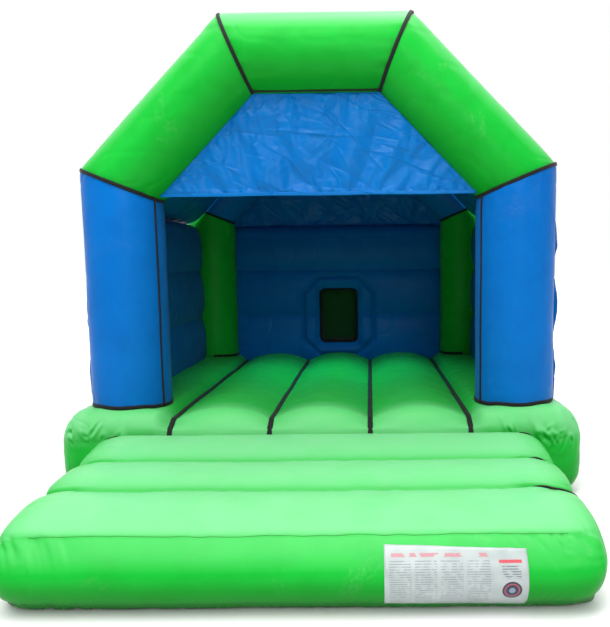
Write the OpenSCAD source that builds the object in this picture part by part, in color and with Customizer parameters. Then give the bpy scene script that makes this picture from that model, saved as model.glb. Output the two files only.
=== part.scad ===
// Inflatable bounce house with an A-frame front arch, a front step and a rain cover.
// Millimetres. X runs to the right, Y runs from the entrance to the back, Z is up.
// The origin is the middle of the inflated footprint, on the ground.

/* [Footprint] */
// Width of the bed, over its bulging sides
bed_w = 3336; // [3300:4:3360]
// Length of bed and front step together
total_l = 4570; // [4500:10:4700]
// Length of the front step alone
step_l = 1390; // [1350:5:1450]
// Height of the bed's crowns
bed_h = 570; // [540:5:600]
// Depth of the valleys between the bed's bays
valley = 90; // [60:5:100]

/* [Arch] */
// Distance from the middle to the outer face of a leg
leg_out = 1530; // [1520:5:1535]
// Diameter of the front legs and of the front arch
tube_w = 508; // [500:2:512]
// Diameter of the rear columns and of the rear arch
rear_w = 470; // [460:2:480]
// Height of the outer end of the leg mitre
mitre_z = 2103; // [2090:1:2115]
// Overall height
total_h = 3050; // [3040:5:3060]
// Half the length of the arch's flat top, at its upper edge
top_half = 610; // [600:5:620]

/* [Walls] */
// Height of the walls' top above the ground
wall_top = 1880; // [1860:5:1890]
// Thickness of the walls
wall_t = 270; // [250:5:280]
// Width of the window
window_w = 360; // [320:10:400]
// Height of the window
window_h = 526; // [460:2:540]

/* [Fittings] */
// Inner radius of the inflation sleeve
sleeve_r = 140; // [130:1:145]
// Length of the inflation sleeve
sleeve_l = 450; // [400:10:500]
// Wire radius of the anchor rings
ring_wire = 3; // [2.5:0.5:3.5]

/* [Hidden] */
$fn = 48;

skin = 3;                          // drawn thickness of the coated fabric
gap = 0.25;                        // half the gap between two sewn chambers
half_w = bed_w / 2;
y_front = -total_l / 2;            // front of the step
y_back = total_l / 2;              // back of the bed
y_bed = y_front + step_l;          // front of the bed
seam_x = [318, 953];                // the bed's sewn valleys
seams = [-seam_x[1], -seam_x[0], seam_x[0], seam_x[1]];
step_half = 1346;
leg_in = leg_out - tube_w;
leg_r = tube_w / 2;
col_r = rear_w / 2;
leg_y = y_bed + 339;               // middle of the front arch
col_y = 1800;                      // middle of the rear arch
wall_in = 1300;                    // inner face of the side walls
rear_in = 1790;                    // inner face of the rear wall
window_z = 956;                    // middle of the window
green = "limegreen";
blue = "royalblue";
black = [0.06, 0.06, 0.07];

// ---- geometry helpers ----
function unit(v) = v / norm(v);
function dot(a, b) = a[0] * b[0] + a[1] * b[1];
// moves every edge of a counter-clockwise outline inwards by t, or outwards where t is negative
function inset(p, t) = [for (i = [0:len(p) - 1])
  let (a = p[(i + len(p) - 1) % len(p)], b = p[i], c = p[(i + 1) % len(p)],
       u = unit(b - a), v = unit(c - b), m = [-u[1], u[0]], n = [-v[1], v[0]])
  b + t * (m + n) / (1 + dot(m, n))];
function arc(c, r, a0, a1, n) = [for (i = [0:n]) let (a = a0 + (a1 - a0) * i / n) [c[0] + r * cos(a), c[1] + r * sin(a)]];
// an arc from a to b that stands s proud of their chord, without its last point
function bulge(a, b, s, n = 8) = let (l = norm(b - a), u = (b - a) / l, o = [u[1], -u[0]],
  r = (l * l / 4 + s * s) / (2 * s), c = (a + b) / 2 - o * (r - s), h = asin(min(1, l / 2 / r)))
  [for (i = [0:n - 1]) let (f = -h + 2 * h * i / n) c + r * (o * cos(f) + u * sin(f))];
function round_rect(x0, x1, y0, y1, r, n = 6) = concat(
  arc([x1 - r, y0 + r], r, -90, 0, n), arc([x1 - r, y1 - r], r, 0, 90, n),
  arc([x0 + r, y1 - r], r, 90, 180, n), arc([x0 + r, y0 + r], r, 180, 270, n));
module ext_y(p, y0, y1) translate([0, y1, 0]) rotate([90, 0, 0]) linear_extrude(y1 - y0) polygon(p);
module ext_x(p, x0, x1) translate([x0, 0, 0]) rotate([90, 0, 90]) linear_extrude(x1 - x0) polygon(p);
module ext_z(p, z0, z1) translate([0, 0, z0]) linear_extrude(z1 - z0) polygon(p);
module mirror_x(side) if (side < 0) mirror([1, 0, 0]) children(); else children();

// ---- bed ----
// cross-section, seen from the front: five bays with sewn valleys between them
bed_r = 200;
foot_r = 90;
crest_x = 1280;
valley_z = bed_h - valley;
function outer_bay(x0) = concat(
  arc([half_w - foot_r, foot_r], foot_r, -90, 0, 5),
  arc([half_w - bed_r, bed_h - bed_r], bed_r, 0, 90, 7),
  bulge([crest_x, bed_h], [x0, valley_z], 30, 5), [[x0, valley_z]]);
function flip(p) = [for (i = [len(p) - 1:-1:0]) [-p[i][0], p[i][1]]];
bed_xz = concat(outer_bay(seam_x[1]),
  bulge([seam_x[1], valley_z], [seam_x[0], valley_z], valley, 10),
  bulge([seam_x[0], valley_z], [-seam_x[0], valley_z], valley, 10),
  bulge([-seam_x[0], valley_z], [-seam_x[1], valley_z], valley, 10),
  flip(outer_bay(seam_x[1])));
bed_yz = let (r = 184, h = bed_h + 4) concat(
  arc([y_back - foot_r, foot_r], foot_r, -90, 0, 5), arc([y_back - r, h - r], r, 0, 90, 7),
  arc([y_bed + r, h - r], r, 90, 180, 7), arc([y_bed + foot_r, foot_r], foot_r, 180, 270, 5));
side = 2.2;                        // from a valley's middle to the chambers beside it
function inner_bay(x0, x1) = concat([[x0, 0], [x1, 0]], bulge([x1, valley_z], [x0, valley_z], valley, 12), [[x0, valley_z]]);
module bay_solid(p, t) intersection() {
  ext_y(inset(p, t), y_bed - 100, y_back + 100);
  ext_x(inset(bed_yz, t), -half_w - 100, half_w + 100);
}
// the bed's outer form, which everything above it is trimmed to: whole, or with its front and back edges left square
module bed_top(t) bay_solid(bed_xz, t);
module bed_prism(t) ext_y(inset(bed_xz, t), y_bed + 100, y_back - 100);
// everything below the bed's crests
module below_crests(t) translate([-1400, rear_in - 100, 0]) cube([2800, wall_t + 200, bed_h - t]);
// air passages: bay to bay, into the legs, columns and walls, into the step, and the sleeve's mouth
port_x = 1262;
module vents() for (x = seams, y = [-100, 900]) translate([x - 12, y, 250]) rotate([0, 90, 0]) cylinder(r = 60, h = 24);
module ports_up() for (s = [-1, 1]) {
  for (y = [leg_y, col_y]) translate([s * port_x, y, bed_h - 40]) cylinder(r = 45, h = 80);
  translate([s * (wall_in + wall_t / 2), 500, bed_h - 40]) cylinder(r = 45, h = 80);
  translate([s * 640, rear_in + wall_t / 2, bed_h - 40]) cylinder(r = 45, h = 80);
}
module step_ports() for (s = [-1, 1]) translate([s * 640, y_bed - 20, 200]) rotate([-90, 0, 0]) cylinder(r = 60, h = 40);
module bay(p) difference() {
  bay_solid(p, 0);
  bay_solid(p, skin);
  vents();
  ports_up();
  step_ports();
  translate([sleeve_x, y_back - 20, sleeve_z]) rotate([-90, 0, 0]) cylinder(r = 120, h = 40);
}
outer_p = concat(outer_bay(seam_x[1] + side), [[seam_x[1] + side, 0]]);
module bed_bay_outer_left() color(green) bay(flip(outer_p));
module bed_bay_outer_right() color(green) bay(outer_p);
module bed_bay_inner_left() color(green) bay(inner_bay(seams[0] + side, seams[1] - side));
module bed_bay_inner_right() color(green) bay(inner_bay(seams[2] + side, seams[3] - side));
module bed_bay_centre() color(green) bay(inner_bay(seams[1] + side, seams[2] - side));
module bed_baffles() color("honeydew") for (x = seams) difference() {
  intersection() {
    translate([x - 1.5, y_bed - 50, 0]) cube([3, y_back - y_bed + 100, valley_z - 2]);
    ext_x(inset(bed_yz, 2), -half_w, half_w);
  }
  for (y = [-100, 900]) translate([x - 12, y, 250]) rotate([0, 90, 0]) cylinder(r = 60, h = 24);
}
strip = [[-3, 3.5], [3, 3.5], [21, 17.5], [21, 19], [-21, 19], [-21, 17.5]];
module bed_seam_strips() color(black) for (x = seams)
  ext_y([for (p = strip) [x + p[0], valley_z + p[1]]], y_bed + 110, rear_in - 30);

// ---- front step ----
step_crease = [y_bed - 402, y_bed - 812];
step_yz = concat(
  [[y_front + 150, 0], [y_bed - 0.5, 0], [y_bed - 0.5, 385]],
  bulge([y_bed - 12, 395], [step_crease[0], 362], 32, 7),
  bulge([step_crease[0], 362], [step_crease[1], 350], 40, 7),
  bulge([step_crease[1], 350], [y_front + 122, 322], 40, 9),
  bulge([y_front + 122, 322], [y_front + 60, 60], 88, 9),
  bulge([y_front + 60, 60], [y_front + 150, 0], 14, 4));
step_xz = concat(arc([step_half - 90, 90], 90, -90, 0, 5), arc([step_half - 200, 250], 200, 0, 90, 7),
  arc([-step_half + 200, 250], 200, 90, 180, 7), arc([-step_half + 90, 90], 90, 180, 270, 5));
step_xy = concat(arc([step_half - 260, y_front + 260], 260, -90, 0, 7), [[step_half, y_bed + 50], [-step_half, y_bed + 50]],
  arc([-step_half + 260, y_front + 260], 260, 180, 270, 7));
module step_solid(t) intersection() {
  ext_x(inset(step_yz, t), -step_half - 50, step_half + 50);
  ext_y(inset(step_xz, t), y_front - 50, y_bed + 50);
  ext_z(inset(step_xy, t), -50, 700);
}
module step_skin() color(green) difference() { step_solid(0); step_solid(skin); step_ports(); }
module step_baffles() color("honeydew") for (y = step_crease)
  translate([-step_half + 320, y - 1.5, skin + 3]) cube([2 * step_half - 640, 3, 334]);

// ---- arches ----
// corner points of the right half of an arch, seen from the front
slope_dir = unit([top_half - leg_out, total_h - mitre_z]);
slope_out = [slope_dir[1], -slope_dir[0]];
// inner corner of the leg mitre and of the top mitre
a_out = [leg_out, mitre_z];
m1 = unit(slope_out + [1, 0]);
a_in = a_out - m1 * tube_w / dot(m1, [1, 0]);
b_out = [top_half, total_h];
m2 = unit(slope_out + [0, 1]);
b_in = b_out - m2 * tube_w / dot(m2, [0, 1]);
slope_ang = atan2(slope_dir[0], slope_dir[1]);
reach = 60;
leg_quad = [[leg_in - 60, 300], [leg_out + 60, 300], a_out + m1 * reach, a_in - m1 * reach];
slope_quad = [a_in - m1 * reach, a_out + m1 * reach, b_out + m2 * reach, b_in - m2 * reach];
top_quad = [[-b_in[0] + m2[0] * reach, b_in[1] - m2[1] * reach], b_in - m2 * reach, b_out + m2 * reach,
  [-b_out[0] - m2[0] * reach, b_out[1] + m2[1] * reach]];
function round_section(r) = [for (i = [0:31]) [r * cos(i * 11.25 + 5.625), r * sin(i * 11.25 + 5.625)]];
front_section = round_section(leg_r);
rear_section = round_section(col_r);

module leg_solid(section, y, t) intersection() {
  translate([leg_out - tube_w / 2, y, 0]) ext_z(inset(section, t), 350, 2400);
  ext_y(inset(leg_quad, t + gap), y - 400, y + 400);
}
module slope_solid(section, y, t) intersection() {
  let (c = (a_out + a_in) / 2)
  translate([c[0], y, c[1]]) rotate([0, slope_ang, 0]) ext_z(inset(section, t), -500, 1900);
  ext_y(inset(slope_quad, t + gap), y - 400, y + 400);
}
module top_solid(section, y, t) intersection() {
  translate([-900, y, total_h - tube_w / 2]) rotate([0, 90, 0]) ext_z(inset(section, t), 0, 1800);
  ext_y(inset(top_quad, t + gap), y - 400, y + 400);
}
module leg_part(side, section, y) mirror_x(side) difference() {
  leg_solid(section, y, 0);
  bed_top(-1);
  difference() { leg_solid(section, y, skin); bed_top(-1 - skin); }
  translate([port_x, y, bed_h - 40]) cylinder(r = 45, h = 80);
}
module slope_part(side, section, y) mirror_x(side) difference() { slope_solid(section, y, 0); slope_solid(section, y, skin); }
module top_part(section, y) difference() { top_solid(section, y, 0); top_solid(section, y, skin); }

module front_leg_left() color(blue) leg_part(-1, front_section, leg_y);
module front_leg_right() color(blue) leg_part(1, front_section, leg_y);
module front_slope_left() color(green) slope_part(-1, front_section, leg_y);
module front_slope_right() color(green) slope_part(1, front_section, leg_y);
module front_top_beam() color(green) top_part(front_section, leg_y);
module rear_column_left() color("green") leg_part(-1, rear_section, col_y);
module rear_column_right() color("green") leg_part(1, rear_section, col_y);
module rear_slope_left() color(blue) slope_part(-1, rear_section, col_y);
module rear_slope_right() color(blue) slope_part(1, rear_section, col_y);
module rear_top_beam() color(blue) top_part(rear_section, col_y);

// tapes over the mitred joints: an elliptical ring around each joint, clear of both tubes
tape_half = 8;
module mitre_ring(r, c, d, n, turn) {
  // c is the joint's centre, d the direction across the joint, n the way the tubes fold in
  a = r / dot(d, turn);
  k = tape_half * sqrt(1 - pow(dot(d, turn), 2)) / dot(d, turn) / 2;
  ang = atan2(d[1], d[0]);
  translate([c[0] - n * k * d[0], 0, c[1] - n * k * d[1]]) rotate([0, -ang, 0]) translate([0, 0, -tape_half]) linear_extrude(2 * tape_half) difference() {
    polygon([for (i = [0:47]) [(a + k + 3.3) * cos(i * 7.5), (r + 3.3) * sin(i * 7.5)]]);
    polygon([for (i = [0:47]) [(a + k + 0.8) * cos(i * 7.5), (r + 0.8) * sin(i * 7.5)]]);
  }
}
module joint_tapes(r, y) for (s = [-1, 1]) mirror_x(s) translate([0, y, 0]) {
  mitre_ring(r, (a_out + a_in) / 2, m1, 1, [1, 0]);
  mitre_ring(r, (b_out + b_in) / 2, m2, 1, [0, 1]);
}
// room for the joint tapes, taken out of the sheets that end at the tubes
module mitre_room(r, c, d, turn) {
  a = r / dot(d, turn) + 2.5;
  ang = atan2(d[1], d[0]);
  translate([c[0], 0, c[1]]) rotate([0, -ang, 0]) translate([0, 0, -tape_half - 1]) linear_extrude(2 * tape_half + 2)
    polygon([for (i = [0:47]) [(a + 4.5) * cos(i * 7.5), (r + 4.5) * sin(i * 7.5)]]);
}
module tape_room(r, y) for (s = [-1, 1]) mirror_x(s) translate([0, y, 0]) {
  mitre_room(r, (a_out + a_in) / 2, m1, [1, 0]);
  mitre_room(r, (b_out + b_in) / 2, m2, [0, 1]);
}
module front_joint_tapes() color(black) joint_tapes(leg_r, leg_y);
module rear_joint_tapes() color(black) joint_tapes(col_r, col_y);

module base_tape(section, y) difference() {
  intersection() { leg_solid(section, y, -3.5); bed_top(-32); }
  leg_solid(section, y, -0.5);
  bed_top(-1.5);
}
module leg_base_tapes() color(black) for (s = [-1, 1]) mirror_x(s) intersection() {
  base_tape(front_section, leg_y);
  union() {
    translate([900, y_bed, 400]) cube([800, 338, 400]);
    translate([900, y_bed, 400]) cube([wall_in - 905, 640, 400]);
  }
}
module column_base_tapes() color(black) for (s = [-1, 1]) mirror_x(s) intersection() {
  base_tape(rear_section, col_y);
  translate([900, 1400, 400]) cube([wall_in - 905, rear_in - 1405, 400]);
}
// the piping runs where the front panel of a tube meets its inner panel
pipe_a = 67;
pipe_at = leg_r + 5.6;
module leg_corner_piping() color(black) for (s = [-1, 1])
  translate([s * (leg_out - leg_r - pipe_at * sin(pipe_a)), leg_y - pipe_at * cos(pipe_a), bed_h + 12]) cylinder(r = 5, h = a_in[1] - bed_h - 22);
module top_beam_piping() color(black)
  translate([8 - b_in[0], leg_y - pipe_at * cos(pipe_a), total_h - leg_r - pipe_at * sin(pipe_a)]) rotate([0, 90, 0]) cylinder(r = 5, h = 2 * b_in[0] - 16);

// ---- walls ----
// three stacked tubes; u runs through the wall from its inner face
function wall_profile(u0, u1, z1) = let (c = 45, z0 = 470, za = 968, zb = 1420, e = (u1 - u0) / 2 - 25) concat(
  [[u0 + c, z0], [u1 - c, z0]],
  bulge([u1 - c, z0 + 1], [u1 - c, za], c, 7), bulge([u1 - c, za], [u1 - c, zb], c, 7),
  bulge([u1 - c, zb], [u1 - 25, z1 - e], 32, 6),
  bulge([u1 - 25, z1 - e], [u0 + 25, z1 - e], e, 10),
  bulge([u0 + 25, z1 - e], [u0 + c, zb], 32, 6),
  bulge([u0 + c, zb], [u0 + c, za], c, 7), bulge([u0 + c, za], [u0 + c, z0 + 1], c, 7), [[u0 + c, z0 + 1]]);
module side_solid(t) ext_y(inset(wall_profile(wall_in, wall_in + wall_t, wall_top), t), leg_y + t, col_y - t);
module side_wall(side) color(blue) mirror_x(side) difference() {
  side_solid(0);
  bed_prism(-1);
  ports_up();
  leg_solid(front_section, leg_y, -1);
  leg_solid(rear_section, col_y, -1);
  slope_solid(front_section, leg_y, -1);
  slope_solid(rear_section, col_y, -1);
  difference() {
    side_solid(skin);
    bed_prism(-1 - skin);
    leg_solid(front_section, leg_y, -1 - skin);
    leg_solid(rear_section, col_y, -1 - skin);
    slope_solid(front_section, leg_y, -1 - skin);
    slope_solid(rear_section, col_y, -1 - skin);
  }
}
module side_wall_left() side_wall(-1);
module side_wall_right() side_wall(1);
module side_wall_baffles() color("lightsteelblue") for (s = [-1, 1], z = [968, 1420])
  translate([s > 0 ? wall_in + 52 : -wall_in - wall_t + 52, leg_y + leg_r + 60, z - 1.5]) cube([wall_t - 104, 1500, 3]);
module window_hole(t, y0, y1) translate([-window_w / 2 + t, y0, window_z - window_h / 2 + t]) cube([window_w - 2 * t, y1 - y0, window_h - 2 * t]);
module rear_solid(t) ext_x(inset(wall_profile(rear_in, rear_in + wall_t + 10, wall_top), t), -1255 + t, 1255 - t);
module rear_wall() color(blue) difference() {
  rear_solid(0);
  below_crests(-1);
  ports_up();
  for (s = [-1, 1]) mirror_x(s) leg_solid(rear_section, col_y, -1);
  for (s = [-1, 1]) mirror_x(s) slope_solid(rear_section, col_y, -1);
  window_hole(0, rear_in - 60, rear_in + 400);
  difference() {
    rear_solid(skin);
    below_crests(-1 - skin);
    for (s = [-1, 1]) mirror_x(s) leg_solid(rear_section, col_y, -1 - skin);
    for (s = [-1, 1]) mirror_x(s) slope_solid(rear_section, col_y, -1 - skin);
    window_hole(-skin, rear_in - 60, rear_in + 400);
  }
}
module rear_wall_baffles() color("lightsteelblue") {
  translate([-920, rear_in + 52, 1418.5]) cube([1840, wall_t - 94, 3]);
  for (s = [-1, 1]) translate([s > 0 ? 260 : -920, rear_in + 52, 966.5]) cube([660, wall_t - 94, 3]);
}
module window_binding() color(black) difference() {
  window_hole(0.6, rear_in + 25, rear_in + wall_t - 15);
  window_hole(3.6, rear_in, rear_in + 400);
}
module window_net() color("darkgreen") window_hole(4.2, rear_in + wall_t - 34, rear_in + wall_t - 31);

// ---- sheets ----
hem_z = 1920;
hem_x = a_in[0] + 60;
gable = [[-hem_x, hem_z], [hem_x, hem_z], [b_in[0] + 90, b_in[1] + 70], [-b_in[0] - 90, b_in[1] + 70]];
module front_gable_panel() color(blue) difference() {
  ext_y(gable, leg_y - 77, leg_y - 74);
  for (s = [-1, 1]) mirror_x(s) { slope_solid(front_section, leg_y, -1); leg_solid(front_section, leg_y, -5); }
  top_solid(front_section, leg_y, -1);
  tape_room(leg_r, leg_y);
}
rear_gable = [[-1030, wall_top + 3], [1030, wall_top + 3], [a_in[0] + 60, a_in[1] + 11], [b_in[0] + 90, b_in[1] + 70], [-b_in[0] - 90, b_in[1] + 70], [-a_in[0] - 60, a_in[1] + 11]];
module rear_gable_panel() color(blue) difference() {
  ext_y(rear_gable, rear_in + 138, rear_in + 141);
  for (s = [-1, 1]) mirror_x(s) { slope_solid(rear_section, col_y, -5); leg_solid(rear_section, col_y, -5); }
  top_solid(rear_section, col_y, -1);
  tape_room(col_r, col_y);
}
// rain cover: over the ridge, down both slopes, over the walls' tops and down their outer faces
roof_half = [[b_out[0] - 150, total_h - 190], [1330, 1945], [1420, 1900], [1520, 1878], [1576, 1800], [1578, 1640]];
roof_line = concat([for (i = [5:-1:0]) [-roof_half[i][0], roof_half[i][1]]], roof_half);
function offset_line(p, t) = [for (i = [0:len(p) - 1])
  let (a = p[max(i - 1, 0)], b = p[i], c = p[min(i + 1, len(p) - 1)],
       u = i > 0 ? unit(b - a) : unit(c - b), v = i < len(p) - 1 ? unit(c - b) : unit(b - a),
       m = [-u[1], u[0]], n = [-v[1], v[0]])
  b + t * (m + n) / (1 + dot(m, n))];
roof_up = offset_line(roof_line, 3);
module roof_cover() color(blue) difference() {
  ext_y(concat(roof_line, [for (i = [len(roof_up) - 1:-1:0]) roof_up[i]]), leg_y + leg_r + 1, col_y - col_r - 2);
  tape_room(leg_r, leg_y);
  tape_room(col_r, col_y);
}
tie_y = [-100, 600, 1300];
module roof_tie_straps() color(black) for (s = [-1, 1], y = tie_y)
  translate([s > 0 ? 1573.5 : -1576, y - 15, 1240]) cube([2.5, 30, 520]);
module roof_tie_patches() color(blue) for (s = [-1, 1], y = tie_y)
  translate([s * 1570.3, y, 1194]) rotate([0, s * 90, 0]) cylinder(r = 38, h = 2.5);

// ---- information panel on the front of the step ----
module info_label() color("white") intersection() {
  difference() {
    ext_x(inset(step_yz, -3.5), 400, 1000);
    ext_x(inset(step_yz, -0.6), 390, 1010);
  }
  translate([400, y_front - 50, 62]) cube([600, 250, 268]);
}

// ---- inflation sleeve ----
sleeve_x = -636;
sleeve_z = 215;
module inflation_sleeve() color(green) translate([sleeve_x, y_back + 0.4, sleeve_z]) rotate([-90, 0, 0]) difference() {
  union() {
    cylinder(r = sleeve_r + skin, h = sleeve_l);
    cylinder(r = sleeve_r + 30, h = skin);
  }
  translate([0, 0, -1]) cylinder(r = sleeve_r, h = sleeve_l + 2);
}
module sleeve_strap() color(black) translate([sleeve_x, y_back + sleeve_l - 110, sleeve_z]) {
  rotate([-90, 0, 0]) difference() {
    cylinder(r = sleeve_r + skin + 3, h = 40);
    translate([0, 0, -1]) cylinder(r = sleeve_r + skin + 0.5, h = 42);
    translate([-22, -200, -1]) cube([44, 100, 42]);
  }
}
// the buckle lies on top of the sleeve and joins the strap's ends
module sleeve_buckle() color("dimgray") translate([sleeve_x - 21, y_back + sleeve_l - 116, sleeve_z + sleeve_r + skin + 0.5]) difference() {
  cube([42, 52, 6]);
  translate([5, 6, -1]) cube([13, 40, 8]);
  translate([24, 6, -1]) cube([13, 40, 8]);
}

// ---- deflation zip, on the back of the bed ----
zip_x0 = 385;
zip_x1 = 885;
zip_z = 230;
module zip_tape() color(black) translate([zip_x0, y_back + 0.4, zip_z - 30]) cube([zip_x1 - zip_x0, 2.5, 60]);
module zip_teeth() color("gray") translate([zip_x0 + 15, y_back + 3.1, zip_z - 5]) cube([zip_x1 - zip_x0 - 30, 3.5, 10]);
module zip_slider() color("silver") translate([zip_x0 + 20, y_back + 7.1, zip_z]) {
  translate([0, 0, -9]) cube([30, 4, 18]);
  translate([10, 4, -4]) cube([10, 3, 8]);
  translate([9, 5.5, -46]) cube([12, 1.8, 42]);
}
cord_y = y_back + 10;
cord_z = zip_z + 70;
module zip_flap() color(green) {
  difference() {
    translate([zip_x0 - 25, cord_y, cord_z]) rotate([0, 90, 0]) cylinder(r = 8.8, h = zip_x1 - zip_x0 + 50);
    translate([zip_x0 - 26, cord_y, cord_z]) rotate([0, 90, 0]) cylinder(r = 6.3, h = zip_x1 - zip_x0 + 52);
  }
  translate([zip_x0 - 25, cord_y + 6.6, cord_z - 140]) cube([zip_x1 - zip_x0 + 50, 2.2, 140]);
}
module zip_flap_cord() color(black) {
  translate([zip_x0 - 55, cord_y, cord_z]) rotate([0, 90, 0]) cylinder(r = 6, h = zip_x1 - zip_x0 + 110);
  for (x = [zip_x0 - 55, zip_x1 + 31]) translate([x, y_back + 0.4, cord_z - 12]) cube([24, 9.6, 24]);
}

// ---- ground anchors ----
// place, then the turn about Z that points the anchor's local +X outwards
function anchor_at(i) = [[-step_half, -1500, 180], [step_half, -1500, 0], [-half_w, -450, 180], [half_w, -450, 0],
  [-half_w, 1850, 180], [half_w, 1850, 0]][i];
anchor_z = 240;
module anchor(i) translate([anchor_at(i)[0], anchor_at(i)[1], i < 2 ? 200 : anchor_z]) rotate([0, 0, anchor_at(i)[2]]) children();
bar_x = 11;
bar_z = -62;
module anchor_patches() color("darkgreen") for (i = [0:5]) anchor(i)
  translate([0.5, 0, 0]) rotate([0, 90, 0]) cylinder(r = i < 2 ? 48 : 85, h = 2.5);
module anchor_webbing() color(black) for (i = [0:5]) anchor(i) difference() {
  union() {
    translate([3.3, -22, i < 2 ? bar_z : bar_z]) cube([2.7, 44, i < 2 ? 104 : 125]);
    translate([bar_x, -22, bar_z]) rotate([-90, 0, 0]) cylinder(r = 7.7, h = 44);
  }
  translate([bar_x, -23, bar_z]) rotate([-90, 0, 0]) cylinder(r = ring_wire + 0.3, h = 46);
}
module d_ring(i) color("silver") anchor(i) translate([bar_x, 0, bar_z]) {
  translate([0, -27, 0]) rotate([-90, 0, 0]) cylinder(r = ring_wire, h = 54);
  for (s = [-1, 1]) {
    translate([0, s * 27, -12]) cylinder(r = ring_wire, h = 12);
    translate([0, s * 27, 0]) sphere(r = ring_wire);
  }
  translate([0, 0, -12]) rotate([0, 90, 0]) rotate([0, 0, -90]) rotate_extrude(angle = 180) translate([27, 0]) circle(r = ring_wire);
}
module d_ring_front_left() d_ring(0);
module d_ring_front_right() d_ring(1);
module d_ring_middle_left() d_ring(2);
module d_ring_middle_right() d_ring(3);
module d_ring_rear_left() d_ring(4);
module d_ring_rear_right() d_ring(5);

bed_bay_outer_left();
bed_bay_inner_left();
bed_bay_centre();
bed_bay_inner_right();
bed_bay_outer_right();
bed_baffles();
bed_seam_strips();
step_skin();
step_baffles();
front_leg_left();
front_leg_right();
front_slope_left();
front_slope_right();
front_top_beam();
front_joint_tapes();
leg_base_tapes();
leg_corner_piping();
top_beam_piping();
rear_column_left();
rear_column_right();
rear_slope_left();
rear_slope_right();
rear_top_beam();
rear_joint_tapes();
column_base_tapes();
side_wall_left();
side_wall_right();
side_wall_baffles();
rear_wall();
rear_wall_baffles();
window_net();
window_binding();
front_gable_panel();
rear_gable_panel();
roof_cover();
roof_tie_straps();
roof_tie_patches();
info_label();
inflation_sleeve();
sleeve_strap();
sleeve_buckle();
zip_tape();
zip_teeth();
zip_slider();
zip_flap();
zip_flap_cord();
anchor_patches();
anchor_webbing();
d_ring_front_left();
d_ring_front_right();
d_ring_middle_left();
d_ring_middle_right();
d_ring_rear_left();
d_ring_rear_right();
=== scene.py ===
import math

import bpy
import numpy as np
from mathutils import Matrix, Vector


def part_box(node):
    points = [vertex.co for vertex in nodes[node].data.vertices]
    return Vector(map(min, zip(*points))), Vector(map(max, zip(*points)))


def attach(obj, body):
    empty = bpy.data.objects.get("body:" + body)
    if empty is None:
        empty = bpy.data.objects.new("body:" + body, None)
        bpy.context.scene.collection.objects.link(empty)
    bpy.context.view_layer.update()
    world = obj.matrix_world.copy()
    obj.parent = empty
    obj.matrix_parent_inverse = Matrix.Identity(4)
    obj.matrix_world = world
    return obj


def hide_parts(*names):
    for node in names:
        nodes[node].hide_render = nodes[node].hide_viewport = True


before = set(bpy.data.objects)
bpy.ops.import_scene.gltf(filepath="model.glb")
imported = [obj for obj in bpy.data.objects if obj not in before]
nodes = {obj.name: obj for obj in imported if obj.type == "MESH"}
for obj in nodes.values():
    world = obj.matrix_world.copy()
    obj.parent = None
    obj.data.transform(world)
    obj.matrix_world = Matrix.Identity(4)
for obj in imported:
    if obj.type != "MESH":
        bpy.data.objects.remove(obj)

scene = bpy.context.scene
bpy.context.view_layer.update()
BODY = "castle"


def bx(n):
    lo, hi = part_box(n)
    return np.array(lo), np.array(hi)


# ------------------------------------------------------------------ camera
cam_pos = Vector((0.3248, -4.8292, 1.4740))
pitch, yaw, roll = math.radians(5.989), math.radians(0.567), math.radians(-0.665)
focal_px, pp = 645.93, (363.97, 332.43)
fwd = Vector((-math.sin(yaw) * math.cos(pitch), math.cos(yaw) * math.cos(pitch), -math.sin(pitch)))
right = Vector((math.cos(yaw), math.sin(yaw), 0.0))
up = right.cross(fwd)
r2 = right * math.cos(roll) + up * math.sin(roll)
u2 = up * math.cos(roll) - right * math.sin(roll)
cam_data = bpy.data.cameras.new("camera")
cam_data.sensor_width = 36.0
cam_data.lens = focal_px / 627.0 * 36.0
cam_data.shift_x = (305.0 - pp[0]) / 627.0
cam_data.shift_y = (pp[1] - 313.5) / 627.0
cam_data.clip_end = 200.0
cam = bpy.data.objects.new("camera", cam_data)
scene.collection.objects.link(cam)
m = Matrix((r2, u2, -fwd)).transposed().to_4x4()
m.translation = cam_pos
cam.matrix_world = m
scene.camera = cam

# ------------------------------------------------------------------ dimensions, from the frame
HW = 1.668                       # half the bed's width
lo_c, hi_c = bx("bed_bay_centre")
YB, YE = float(lo_c[1]), float(hi_c[1])          # bed, front and back
BED_H = float(hi_c[2])
VAL = BED_H - 0.090
SEAMS = [-0.953, -0.318, 0.318, 0.953]
STEP_HALF = 1.346
YF = float(bx("step_skin")[0][1]) - 0.002
lo_l, hi_l = bx("front_leg_right")
LEG_OUT = 1.530
LEG_R = 0.254
LEG_Y = YB + 0.339
COL_R = 0.235
COL_Y = 1.800
MITRE_Z, TOP_H, TOP_HALF = 2.103, 3.050, 0.610
WALL_IN, WALL_T, WALL_TOP, REAR_IN = 1.300, 0.270, 1.880, 1.790
HEM_Z = 1.920


def unit(v):
    v = np.asarray(v, float)
    return v / np.linalg.norm(v)


slope_dir = unit([TOP_HALF - LEG_OUT, TOP_H - MITRE_Z])
slope_out = np.array([slope_dir[1], -slope_dir[0]])
m1 = unit(slope_out + [1, 0])
m2 = unit(slope_out + [0, 1])
a_out = np.array([LEG_OUT, MITRE_Z])
a_in = a_out - m1 * 2 * LEG_R / m1[0]
b_out = np.array([TOP_HALF, TOP_H])
b_in = b_out - m2 * 2 * LEG_R / m2[1]
a_mid, b_mid = (a_out + a_in) / 2, (b_out + b_in) / 2
LEG_X = LEG_OUT - LEG_R

# ------------------------------------------------------------------ noise
_rng = np.random.RandomState(7)
LAT = _rng.rand(32, 32, 32) * 2 - 1


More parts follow.
